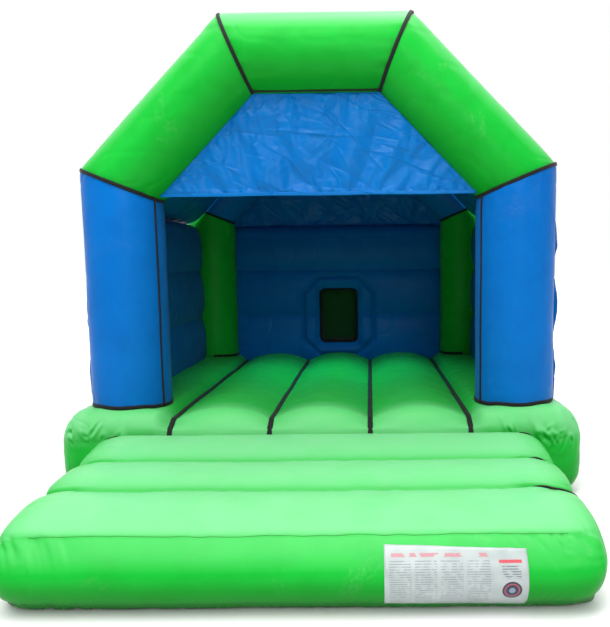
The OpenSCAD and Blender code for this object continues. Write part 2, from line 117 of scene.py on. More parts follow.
def vnoise(p):
    """smooth value noise on a repeating lattice, one value a row of p"""
    p = np.asarray(p, float)
    i = np.floor(p).astype(int)
    f = p - i
    f = f * f * f * (f * (f * 6 - 15) + 10)
    i0, i1 = i % 32, (i + 1) % 32
    out = 0.0
    for dx in (0, 1):
        wx = f[:, 0] if dx else 1 - f[:, 0]
        ix = i1[:, 0] if dx else i0[:, 0]
        for dy in (0, 1):
            wy = f[:, 1] if dy else 1 - f[:, 1]
            iy = i1[:, 1] if dy else i0[:, 1]
            for dz in (0, 1):
                wz = f[:, 2] if dz else 1 - f[:, 2]
                iz = i1[:, 2] if dz else i0[:, 2]
                out = out + wx * wy * wz * LAT[ix, iy, iz]
    return out


def fbm(p, scale, octaves=3, off=0.0):
    out, amp = 0.0, 1.0
    q = np.asarray(p, float) * scale + off
    for _ in range(octaves):
        out = out + amp * vnoise(q)
        q = q * 2.03 + 11.7
        amp *= 0.5
    return out


def ridge(p, scale, off=0.0):
    """sharp creases: 0 on most of the surface, 1 along thin lines"""
    n = np.abs(vnoise(np.asarray(p, float) * scale + off))
    return np.clip(1 - n * 6.0, 0, 1)


def sstep(a, b, x):
    t = np.clip((x - a) / (b - a), 0, 1)
    return t * t * (3 - 2 * t)


def seg_dist(P, A, B):
    A, B = np.asarray(A, float), np.asarray(B, float)
    ab = B - A
    t = np.clip(((P - A) @ ab) / (ab @ ab), 0, 1)
    return np.linalg.norm(P - A - t[:, None] * ab, axis=1), t


def creases(P, segs):
    """how far in each point goes, for creases given as (start, end, depth, width)"""
    out = np.zeros(len(P))
    for A, B, depth, width in segs:
        d, t = seg_dist(P, A, B)
        taper = np.clip(np.minimum(t / 0.25, (1 - t) / 0.35), 0, 1) * 0.75 + 0.25
        g = np.clip(1 - d / width, 0, 1) ** 2
        lip = 0.45 * np.exp(-((d - width * 1.3) / (width * 0.6)) ** 2)
        out += depth * taper * (g - lip)
    return out


# ------------------------------------------------------------------ mesh helpers
def link(name, V, F, mat=None, smooth=True, angle=None):
    me = bpy.data.meshes.new(name)
    V = np.asarray(V, float)
    counts = np.fromiter((len(f) for f in F), int, len(F))
    flat = np.concatenate([np.asarray(f, int) for f in F]) if not isinstance(F, np.ndarray) else F.astype(int).ravel()
    me.vertices.add(len(V))
    me.vertices.foreach_set("co", V.ravel())
    me.loops.add(len(flat))
    me.loops.foreach_set("vertex_index", flat)
    me.polygons.add(len(counts))
    me.polygons.foreach_set("loop_start", np.concatenate([[0], np.cumsum(counts)[:-1]]))
    me.polygons.foreach_set("loop_total", counts)
    me.update(calc_edges=True)
    me.validate()
    ob = bpy.data.objects.new(name, me)
    scene.collection.objects.link(ob)
    if smooth:
        me.polygons.foreach_set("use_smooth", [True] * len(me.polygons))
    if mat is not None:
        me.materials.append(mat)
    return ob


def flip_if_needed(V, F):
    V = np.asarray(V, float)
    T = np.array([t for f in F for t in ([(f[0], f[1], f[2])] if len(f) == 3 else [(f[0], f[1], f[2]), (f[0], f[2], f[3])])])
    vol = (V[T[:, 0]] * np.cross(V[T[:, 1]], V[T[:, 2]])).sum()
    return [tuple(f)[::-1] for f in F] if vol < 0 else F


def tube_faces(nu, nv, closed_u=True, base=0):
    """quads for a grid of nv rings with nu points each"""
    out = []
    last = nu if closed_u else nu - 1
    for j in range(nv - 1):
        for i in range(last):
            k = (i + 1) % nu
            out.append((base + j * nu + i, base + j * nu + k, base + (j + 1) * nu + k, base + (j + 1) * nu + i))
    return out


def loft(name, rings, mat, caps=True, slot=None):
    """rings: (nv, nu, 3), each a closed loop"""
    nv, nu, _ = rings.shape
    V = rings.reshape(-1, 3)
    F = tube_faces(nu, nv)
    if caps:
        c0, c1 = rings[0].mean(0), rings[-1].mean(0)
        V = np.vstack([V, c0, c1])
        n = nv * nu
        F += [((i + 1) % nu, i, n) for i in range(nu)]
        F += [((nv - 1) * nu + i, (nv - 1) * nu + (i + 1) % nu, n + 1) for i in range(nu)]
    F = flip_if_needed(V, F)
    return link(name, V, F, mat)


def box_surface(xs, ys, zs):
    nx, ny, nz = len(xs), len(ys), len(zs)
    idx = -np.ones((nx, ny, nz), int)
    I, J, K = np.meshgrid(range(nx), range(ny), range(nz), indexing="ij")
    surf = (I == 0) | (I == nx - 1) | (J == 0) | (J == ny - 1) | (K == 0) | (K == nz - 1)
    pts = np.stack([I[surf], J[surf], K[surf]], 1)
    idx[surf] = np.arange(len(pts))
    V = np.stack([xs[pts[:, 0]], ys[pts[:, 1]], zs[pts[:, 2]]], 1)
    F = []

    def quad(g, rev):
        a, b, c, d = g[:-1, :-1].ravel(), g[1:, :-1].ravel(), g[1:, 1:].ravel(), g[:-1, 1:].ravel()
        q = np.stack([a, b, c, d], 1)
        F.append(q[:, ::-1] if rev else q)

    quad(idx[:, :, -1], False)
    quad(idx[:, :, 0], True)
    quad(idx[:, 0, :], False)
    quad(idx[:, -1, :], True)
    quad(idx[-1, :, :], False)
    quad(idx[0, :, :], True)
    return V, np.vstack(F), pts


def rounded(V, lo, hi, r_xy, r_top, r_bot):
    """maps points on a box to a rounded box; r_xy rounds the upright corners, r_top and r_bot the level edges. Returns points and normals."""
    mid = (lo + hi) / 2
    rz = np.where(V[:, 2] > mid[2], r_top, r_bot)
    r = np.stack([np.full(len(V), r_xy), np.full(len(V), r_xy), rz], 1)
    q = np.clip(V, lo + r, hi - r)
    d = (V - q) / r
    n = np.linalg.norm(d, axis=1)
    n[n < 1e-9] = 1
    u = d / n[:, None]
    P = q + u * r
    N = u / r
    N /= np.maximum(np.linalg.norm(N, axis=1), 1e-9)[:, None]
    return P, N


def ribbon(path, normals, width, thick, name, mat, crown=0.15, closed=False, seg=6):
    """a flat strap with softly rounded faces that follows a path; normals point away from what it lies on"""
    P = np.asarray(path, float)
    N = np.asarray(normals, float)
    n = len(P)
    T = np.gradient(P, axis=0)
    if closed:
        T = np.roll(P, -1, 0) - np.roll(P, 1, 0)
    T /= np.linalg.norm(T, axis=1)[:, None]
    N = N - (N * T).sum(1)[:, None] * T
    N /= np.linalg.norm(N, axis=1)[:, None]
    B = np.cross(T, N)
    loop = []
    w, t = width / 2, thick
    for k in range(seg + 1):
        x = -w + 2 * w * k / seg
        loop.append((x, t * (1 - crown * (abs(x) / w) ** 4) if 0 < k < seg else t * 0.62))
    for k in range(seg, -1, -1):
        x = -w + 2 * w * k / seg
        loop.append((x, 0.0))
    L = np.array(loop)
    rings = P[:, None, :] + B[:, None, :] * L[None, :, 0, None] + N[:, None, :] * L[None, :, 1, None]
    if closed:
        nv, nu, _ = rings.shape
        V = rings.reshape(-1, 3)
        F = tube_faces(nu, nv)
        F += [((nv - 1) * nu + i, (nv - 1) * nu + (i + 1) % nu, (i + 1) % nu, i) for i in range(nu)]
        return link(name, V, flip_if_needed(V, F), mat)
    return loft(name, rings, mat)


def rod(path, r, name, mat, n=10):
    P = np.asarray(path, float)
    T = np.gradient(P, axis=0)
    T /= np.linalg.norm(T, axis=1)[:, None]
    ref = np.array([0.0, 1.0, 0.0]) if abs(T[0, 1]) < 0.9 else np.array([1.0, 0, 0])
    A = np.cross(T, ref)
    A /= np.linalg.norm(A, axis=1)[:, None]
    B = np.cross(T, A)
    th = np.linspace(0, 2 * math.pi, n, endpoint=False)
    rings = P[:, None, :] + r * (A[:, None, :] * np.cos(th)[None, :, None] + B[:, None, :] * np.sin(th)[None, :, None])
    return loft(name, rings, mat)


def join(name, obs):
    """joins meshes into one object"""
    V, F, base = [], [], 0
    mats = []
    MI = []
    for o in obs:
        me = o.data
        co = np.zeros(len(me.vertices) * 3)
        me.vertices.foreach_get("co", co)
        V.append(co.reshape(-1, 3))
        slot_map = []
        for mm in me.materials:
            if mm not in mats:
                mats.append(mm)
            slot_map.append(mats.index(mm))
        for p in me.polygons:
            F.append([v + base for v in p.vertices])
            MI.append(slot_map[p.material_index] if slot_map else 0)
        base += len(me.vertices)
    ob = link(name, np.vstack(V), F)
    for mm in mats:
        ob.data.materials.append(mm)
    ob.data.polygons.foreach_set("material_index", MI)
    for o in obs:
        bpy.data.objects.remove(o)
    return ob


def put(ob, *cad, slot=None, body=BODY):
    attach(ob, body)
    if cad:
        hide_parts(*cad)
    return ob


def float_attr(ob, name, values):
    at = ob.data.attributes.new(name, "FLOAT", "POINT")
    at.data.foreach_set("value", np.asarray(values, float))


# ------------------------------------------------------------------ materials
def nt(name):
    mat = bpy.data.materials.new(name)
    mat.use_nodes = True
    t = mat.node_tree
    t.nodes.clear()
    out = t.nodes.new("ShaderNodeOutputMaterial")
    bs = t.nodes.new("ShaderNodeBsdfPrincipled")
    t.links.new(bs.outputs[0], out.inputs[0])
    return mat, t, bs


def nd(t, kind, **kw):
    n = t.nodes.new(kind)
    for k, v in kw.items():
        if k in n.inputs.keys():
            n.inputs[k].default_value = v
        else:
            setattr(n, k, v)
    return n


def mix_col(t, fac, a, b, kind="MIX"):
    n = t.nodes.new("ShaderNodeMix")
    n.data_type = "RGBA"
    n.blend_type = kind
    for sock, v in ((n.inputs[0], fac), (n.inputs[6], a), (n.inputs[7], b)):
        if hasattr(v, "is_output"):
            t.links.new(v, sock)
        else:
            sock.default_value = v
    return n.outputs[2]


def ramp(t, src, a, b, lo=0.0, hi=1.0):
    n = t.nodes.new("ShaderNodeMapRange")
    t.links.new(src, n.inputs[0])
    n.inputs[1].default_value, n.inputs[2].default_value = a, b
    n.inputs[3].default_value, n.inputs[4].default_value = lo, hi
    return n.outputs[0]


def math_node(t, op, a, b=None, c=None):
    n = t.nodes.new("ShaderNodeMath")
    n.operation = op
    for sock, v in zip(n.inputs, (a, b, c)):
        if v is None:
            continue
        if hasattr(v, "is_output"):
            t.links.new(v, sock)
        else:
            sock.default_value = v
    return n.outputs[0]


def noise_tex(t, vec, scale, detail=3.0, rough=0.5, dist=0.0):
    n = t.nodes.new("ShaderNodeTexNoise")
    t.links.new(vec, n.inputs["Vector"])
    n.inputs["Scale"].default_value = scale
    n.inputs["Detail"].default_value = detail
    n.inputs["Roughness"].default_value = rough
    n.inputs["Distortion"].default_value = dist
    return n.outputs["Fac"]


def weave(t, vec, pitch):
    """threads along two of the three axes, wherever the surface faces"""
    waves = []
    for d in ("X", "Y", "Z"):
        w = t.nodes.new("ShaderNodeTexWave")
        w.wave_type = "BANDS"
        w.bands_direction = d
        w.inputs["Scale"].default_value = 0.314 / pitch
        w.inputs["Distortion"].default_value = 0.0
        t.links.new(vec, w.inputs["Vector"])
        waves.append(w.outputs["Fac"])
    a = math_node(t, "MAXIMUM", waves[0], waves[1])
    return math_node(t, "MAXIMUM", a, waves[2])


def pvc(name, base, light, dark, rough=(0.30, 0.46), crinkle=0.25, coat=0.18, sheen=0.3, tint=(1, 1, 1, 1), spec=0.3, painted_top_light=None, foot=None, scuffs=0.16):
    mat, t, bs = nt(name)
    tc = t.nodes.new("ShaderNodeTexCoord").outputs["Object"]
    big = noise_tex(t, tc, 1.3, 2.0)
    mid = noise_tex(t, tc, 7.0, 4.0, 0.55)
    fine = noise_tex(t, tc, 60.0, 4.0, 0.6)
    c = mix_col(t, ramp(t, big, 0.3, 0.7), base, light)
    c = mix_col(t, ramp(t, mid, 0.42, 0.66, 0.0, 0.22), c, dark)
    # scuffs and dust that walking and folding leave
    scuff = math_node(t, "MULTIPLY", ramp(t, noise_tex(t, tc, 3.1, 6.0, 0.7, 0.8), 0.60, 0.78), ramp(t, fine, 0.35, 0.65))
    c = mix_col(t, math_node(t, "MULTIPLY", scuff, scuffs), c, (0.62, 0.64, 0.60, 1))
    # painted shade: a per-point attribute darkens the colour along creases, valleys and sewn joints, where shade
    # gathers; along the joints it is partly their own darker weld
    seam_shade = t.nodes.new("ShaderNodeAttribute")
    seam_shade.attribute_name = "seam_shade"
    c = mix_col(t, math_node(t, "MULTIPLY", seam_shade.outputs["Fac"], 0.30), c, dark)
    wv = weave(t, tc, 0.0022)
    c = mix_col(t, ramp(t, wv, 0.72, 1.0, 0.0, 0.035), c, light)
    if painted_top_light:
        # painted highlight: what faces up outside the roof is paled towards mint, standing in for the bright sky light
        # on it; painted shade: the foot and faces turned down are darkened
        nz = t.nodes.new("ShaderNodeSeparateXYZ")
        t.links.new(t.nodes.new("ShaderNodeNewGeometry").outputs["Normal"], nz.inputs[0])
        ps = t.nodes.new("ShaderNodeSeparateXYZ")
        t.links.new(tc, ps.inputs[0])
        out_ = math_node(t, "MAXIMUM", ramp(t, ps.outputs[1], -0.55, -0.95), math_node(t, "MAXIMUM", ramp(t, ps.outputs[2], 1.9, 2.3), ramp(t, ps.outputs[0], 1.35, 1.5)))
        out_ = math_node(t, "MAXIMUM", out_, ramp(t, ps.outputs[0], -1.35, -1.5))
        up_ = ramp(t, nz.outputs[2], 0.35, 1.0)
        # the bed's rounded front edge gets the painted highlight too
        front_edge = math_node(t, "MULTIPLY", math_node(t, "MULTIPLY", ramp(t, nz.outputs[2], -0.22, 0.38), ramp(t, ps.outputs[2], 0.34, 0.42)), math_node(t, "MULTIPLY", ramp(t, ps.outputs[1], -0.60, -0.72), ramp(t, ps.outputs[2], 0.60, 0.585)))
        up_ = math_node(t, "MAXIMUM", up_, math_node(t, "MULTIPLY", front_edge, 0.92))
        k = math_node(t, "MULTIPLY", math_node(t, "MULTIPLY", up_, ramp(t, out_, 0.0, 1.0, 0.12, 1.0)), ramp(t, mid, 0.3, 0.7, 0.85, 1.0))
        # the step's front panel and rounded ends, and the sewn creases, get less of the painted highlight, as less
        # light falls there
        k = math_node(t, "MULTIPLY", k, ramp(t, ps.outputs[1], YF + 0.116, YF + 0.128, 0.36, 1.0))
        end_ = math_node(t, "MULTIPLY", ramp(t, math_node(t, "ABSOLUTE", ps.outputs[0], 0.0), 1.18, 1.34), ramp(t, ps.outputs[1], YB - 0.02, YB - 0.06))
        k = math_node(t, "MULTIPLY", k, ramp(t, end_, 0.0, 1.0, 1.0, 0.5))
        k = math_node(t, "MULTIPLY", k, ramp(t, seam_shade.outputs["Fac"], 0.0, 1.2, 1.0, 0.42))
        c = mix_col(t, math_node(t, "MULTIPLY", k, painted_top_light[0]), c, painted_top_light[1])
        # painted shade: low surfaces near the ground and faces turned down are darkened towards the foot colour,
        # standing in for the shade under the castle
        low = math_node(t, "MULTIPLY", ramp(t, ps.outputs[2], 0.30, 0.03), ramp(t, nz.outputs[2], 0.5, -0.2))
        c = mix_col(t, math_node(t, "MULTIPLY", low, 0.75), c, foot)
        c = mix_col(t, ramp(t, nz.outputs[2], 0.15, -0.75, 0.0, 0.70), c, foot)
    t.links.new(c, bs.inputs["Base Color"])
    rr = ramp(t, math_node(t, "ADD", mid, math_node(t, "MULTIPLY", scuff, 0.8)), 0.3, 0.9, rough[0], rough[1])
    t.links.new(rr, bs.inputs["Roughness"])
    b1 = t.nodes.new("ShaderNodeBump")
    b1.inputs["Strength"].default_value = crinkle
    b1.inputs["Distance"].default_value = 0.012
    cr = noise_tex(t, tc, 5.5, 3.0, 0.45, 0.6)
    if crinkle > 0.28:
        vo = t.nodes.new("ShaderNodeTexVoronoi")
        vo.inputs["Scale"].default_value = 11.0
        vo.inputs["Randomness"].default_value = 1.0
        warp = t.nodes.new("ShaderNodeMix")
        warp.data_type = "VECTOR"
        warp.inputs[0].default_value = 0.12
        wn = t.nodes.new("ShaderNodeTexNoise")
        wn.inputs["Scale"].default_value = 5.0
        t.links.new(tc, wn.inputs["Vector"])
        t.links.new(tc, warp.inputs[4])
        t.links.new(wn.outputs["Color"], warp.inputs[5])
        t.links.new(warp.outputs[1], vo.inputs["Vector"])
        cr = math_node(t, "ADD", math_node(t, "MULTIPLY", vo.outputs["Distance"], 0.7), math_node(t, "MULTIPLY", cr, 0.6))
    t.links.new(cr, b1.inputs["Height"])
    b2 = t.nodes.new("ShaderNodeBump")
    b2.inputs["Strength"].default_value = 0.10
    b2.inputs["Distance"].default_value = 0.0006
    t.links.new(wv, b2.inputs["Height"])
    t.links.new(b1.outputs[0], b2.inputs["Normal"])
    t.links.new(b2.outputs[0], bs.inputs["Normal"])
    bs.inputs["IOR"].default_value = 1.5
    bs.inputs["Coat Weight"].default_value = coat
    bs.inputs["Coat Roughness"].default_value = 0.28
    bs.inputs["Specular IOR Level"].default_value = spec
    bs.inputs["Sheen Weight"].default_value = sheen
    bs.inputs["Sheen Roughness"].default_value = 0.55
    bs.inputs["Sheen Tint"].default_value = tint
    return mat


def cloth_tape(name, base, light, pitch=0.0016, rough=0.75, stitch=None):
    mat, t, bs = nt(name)
    tc = t.nodes.new("ShaderNodeTexCoord").outputs["Object"]
    wv = weave(t, tc, pitch)
    n = noise_tex(t, tc, 25.0, 4.0)
    c = mix_col(t, ramp(t, n, 0.35, 0.7, 0.0, 0.6), base, light)
    c = mix_col(t, ramp(t, wv, 0.6, 1.0, 0.0, 0.35), c, light)
    fuzz = ramp(t, noise_tex(t, tc, 4.0, 5.0, 0.7), 0.55, 0.8, 0.0, 0.35)
    c = mix_col(t, fuzz, c, light)
    t.links.new(c, bs.inputs["Base Color"])
    t.links.new(ramp(t, n, 0.3, 0.7, rough - 0.1, rough + 0.1), bs.inputs["Roughness"])
    b = t.nodes.new("ShaderNodeBump")
    b.inputs["Strength"].default_value = 0.35
    b.inputs["Distance"].default_value = 0.0006
    t.links.new(wv, b.inputs["Height"])
    t.links.new(b.outputs[0], bs.inputs["Normal"])
    bs.inputs["Sheen Weight"].default_value = 0.06
    bs.inputs["Sheen Roughness"].default_value = 0.5
    bs.inputs["Specular IOR Level"].default_value = 0.2
    return mat


def plain(name, base, light, rough=0.5, metal=0.0, scale=30.0, bump=0.1, dist=0.0004, spread=0.12):
    mat, t, bs = nt(name)
    tc = t.nodes.new("ShaderNodeTexCoord").outputs["Object"]
    n = noise_tex(t, tc, scale, 5.0, 0.6)
    c = mix_col(t, ramp(t, n, 0.3, 0.7), base, light)
    t.links.new(c, bs.inputs["Base Color"])
    t.links.new(ramp(t, n, 0.3, 0.7, rough - spread, rough + spread), bs.inputs["Roughness"])
    b = t.nodes.new("ShaderNodeBump")
    b.inputs["Strength"].default_value = bump
    b.inputs["Distance"].default_value = dist
    t.links.new(noise_tex(t, tc, scale * 8, 3.0), b.inputs["Height"])
    t.links.new(b.outputs[0], bs.inputs["Normal"])
    bs.inputs["Metallic"].default_value = metal
    return mat


GREEN = pvc("green_pvc", (0.004, 0.34, 0.024, 1), (0.008, 0.39, 0.034, 1), (0.001, 0.23, 0.010, 1), coat=0.0, sheen=0.03, tint=(0.55, 1.0, 0.62, 1), spec=0.08, painted_top_light=(0.68, (0.225, 0.56, 0.295, 1)), foot=(0.001, 0.17, 0.006, 1))
BLUE = pvc("blue_pvc", (0.0006, 0.108, 0.40, 1), (0.0010, 0.125, 0.44, 1), (0.0003, 0.070, 0.28, 1), coat=0.0, sheen=0.02, spec=0.05, scuffs=0.04)
SHEET = pvc("blue_sheet", (0.0008, 0.120, 0.40, 1), (0.002, 0.140, 0.44, 1), (0.0004, 0.080, 0.30, 1), rough=(0.26, 0.40), crinkle=0.13, coat=0.0, sheen=0.0, spec=0.10, scuffs=0.05)
BLACK = cloth_tape("black_webbing", (0.003, 0.003, 0.004, 1), (0.011, 0.011, 0.013, 1))
STRAP = cloth_tape("black_strap", (0.010, 0.010, 0.012, 1), (0.045, 0.045, 0.050, 1), pitch=0.0022)
NET = cloth_tape("green_netting", (0.003, 0.045, 0.010, 1), (0.006, 0.080, 0.018, 1), pitch=0.001, rough=0.8)
PATCH = pvc("green_patch", (0.003, 0.27, 0.016, 1), (0.006, 0.32, 0.024, 1), (0.001, 0.17, 0.006, 1), coat=0.02, sheen=0.5, tint=(0.80, 1.0, 0.84, 1))
STEEL = plain("ring_steel", (0.50, 0.50, 0.52, 1), (0.66, 0.66, 0.68, 1), rough=0.34, metal=1.0, scale=120.0)
ZIPMETAL = plain("zip_metal", (0.42, 0.42, 0.43, 1), (0.60, 0.60, 0.61, 1), rough=0.40, metal=1.0, scale=200.0)
ACETAL = plain("buckle_plastic", (0.012, 0.012, 0.014, 1), (0.030, 0.030, 0.033, 1), rough=0.42, scale=90.0)
COIL = plain("zip_coil", (0.015, 0.015, 0.017, 1), (0.04, 0.04, 0.043, 1), rough=0.5, scale=150.0)


def label_material(x0, x1, z0, z1):
    """a printed panel: header line, grey columns of rules, a ring; no lettering"""
    mat, t, bs = nt("information_panel")
    tc = t.nodes.new("ShaderNodeTexCoord").outputs["Object"]
    sep = t.nodes.new("ShaderNodeSeparateXYZ")
    t.links.new(tc, sep.inputs[0])
    u = ramp(t, sep.outputs[0], x0, x1)
    v = ramp(t, sep.outputs[2], z0, z1)

    def band(x, a, b, soft=0.004):
        return math_node(t, "MULTIPLY", ramp(t, x, a - soft, a), ramp(t, x, b, b + soft, 1.0, 0.0))

    white = (0.36, 0.40, 0.395, 1)
    c = mix_col(t, ramp(t, noise_tex(t, tc, 14.0, 3.0), 0.3, 0.7), white, (0.29, 0.335, 0.33, 1))
    # rows of grey rules with ragged ends, in four columns
    rows = math_node(t, "FRACT", math_node(t, "MULTIPLY", v, 26.0))
    row_on = band(rows, 0.30, 0.62, 0.08)
    ragged = ramp(t, noise_tex(t, tc, 46.0, 2.0), 0.40, 0.52)
    cols = None
    for a, b in ((0.035, 0.185), (0.215, 0.365), (0.395, 0.545), (0.575, 0.735)):
        k = band(u, a, b)
        cols = k if cols is None else math_node(t, "ADD", cols, k)
    body = math_node(t, "MULTIPLY", math_node(t, "MULTIPLY", cols, band(v, 0.07, 0.84)), math_node(t, "MULTIPLY", row_on, ragged))
    c = mix_col(t, math_node(t, "MULTIPLY", body, 0.62), c, (0.12, 0.14, 0.16, 1))
    # header rules, pale red
    head = math_node(t, "MULTIPLY", band(v, 0.885, 0.925, 0.01), math_node(t, "MULTIPLY", band(u, 0.05, 0.73), ramp(t, noise_tex(t, tc, 22.0, 1.0), 0.44, 0.50)))
    c = mix_col(t, math_node(t, "MULTIPLY", head, 0.7), c, (0.42, 0.10, 0.13, 1))
    # right-hand column: a short red bar, a few dark rules and a ring
    c = mix_col(t, math_node(t, "MULTIPLY", band(v, 0.80, 0.835, 0.01), band(u, 0.80, 0.955)), c, (0.45, 0.03, 0.05, 1))
    dark = math_node(t, "MULTIPLY", math_node(t, "MULTIPLY", band(v, 0.56, 0.76), band(u, 0.82, 0.945)), math_node(t, "MULTIPLY", row_on, ragged))
    c = mix_col(t, math_node(t, "MULTIPLY", dark, 0.8), c, (0.05, 0.06, 0.09, 1))
    du = math_node(t, "MULTIPLY", math_node(t, "SUBTRACT", u, 0.885), (x1 - x0))
    dv = math_node(t, "MULTIPLY", math_node(t, "SUBTRACT", v, 0.345), (z1 - z0))
    rad = math_node(t, "SQRT", math_node(t, "ADD", math_node(t, "MULTIPLY", du, du), math_node(t, "MULTIPLY", dv, dv)))
    disc = ramp(t, rad, 0.040, 0.042, 1.0, 0.0)
    c = mix_col(t, disc, c, (0.010, 0.014, 0.040, 1))
    ring = math_node(t, "MULTIPLY", ramp(t, rad, 0.026, 0.028), ramp(t, rad, 0.031, 0.033, 1.0, 0.0))
    c = mix_col(t, math_node(t, "MULTIPLY", ring, 0.85), c, (0.40, 0.06, 0.08, 1))
    dot = ramp(t, rad, 0.012, 0.014, 1.0, 0.0)
    c = mix_col(t, math_node(t, "MULTIPLY", dot, 0.8), c, (0.20, 0.26, 0.36, 1))
    frame_line = math_node(t, "SUBTRACT", 1.0, math_node(t, "MULTIPLY", band(u, 0.012, 0.988), band(v, 0.03, 0.97)))
    c = mix_col(t, math_node(t, "MULTIPLY", frame_line, 0.12), c, (0.5, 0.52, 0.56, 1))
    t.links.new(c, bs.inputs["Base Color"])
    t.links.new(ramp(t, noise_tex(t, tc, 40.0, 3.0), 0.3, 0.7, 0.30, 0.42), bs.inputs["Roughness"])
    b = t.nodes.new("ShaderNodeBump")
    b.inputs["Strength"].default_value = 0.3
    b.inputs["Distance"].default_value = 0.003
    t.links.new(noise_tex(t, tc, 9.0, 2.0), b.inputs["Height"])
    t.links.new(b.outputs[0], bs.inputs["Normal"])
    return mat


# ------------------------------------------------------------------ bed
def bed_crown(x):
    """height of the bed's top above its valleys, 0 at a seam and 0.09 on a crown"""
    x = np.asarray(x, float)
    ax = np.abs(x)
    s = SEAMS[3]
    inner = np.where(ax < SEAMS[2], ax / SEAMS[2], np.abs(ax - (SEAMS[2] + s) / 2) / ((s - SEAMS[2]) / 2))
    arch = 1 - np.clip(inner, 0, 1) ** 2
    arch = arch * 0.80 + 0.20 * np.sqrt(np.clip(1 - np.clip(inner, 0, 1) ** 4, 0, 1))
    outer = 0.22 * np.sin(np.clip((ax - s) / 0.34, 0, 1) * math.pi / 2) + 0.78 * np.sin(np.clip((ax - s) / 0.080, 0, 1) * math.pi / 2)
    return np.where(ax < s, arch, outer)


def bed_top_z(x, y):
    """height of the bed's top surface, for what stands on it"""
    z = VAL + 0.090 * bed_crown(x)
    r = 0.20
    ex = np.clip((np.abs(x) - (HW - r)) / r, 0, 1)
    z = z - r * (1 - np.sqrt(np.clip(1 - ex * ex, 0, 1)))
    r = 0.184
    ey = np.clip((YB + r - y) / r, 0, 1)
    z = z - r * (1 - np.sqrt(np.clip(1 - ey * ey, 0, 1)))
    return z


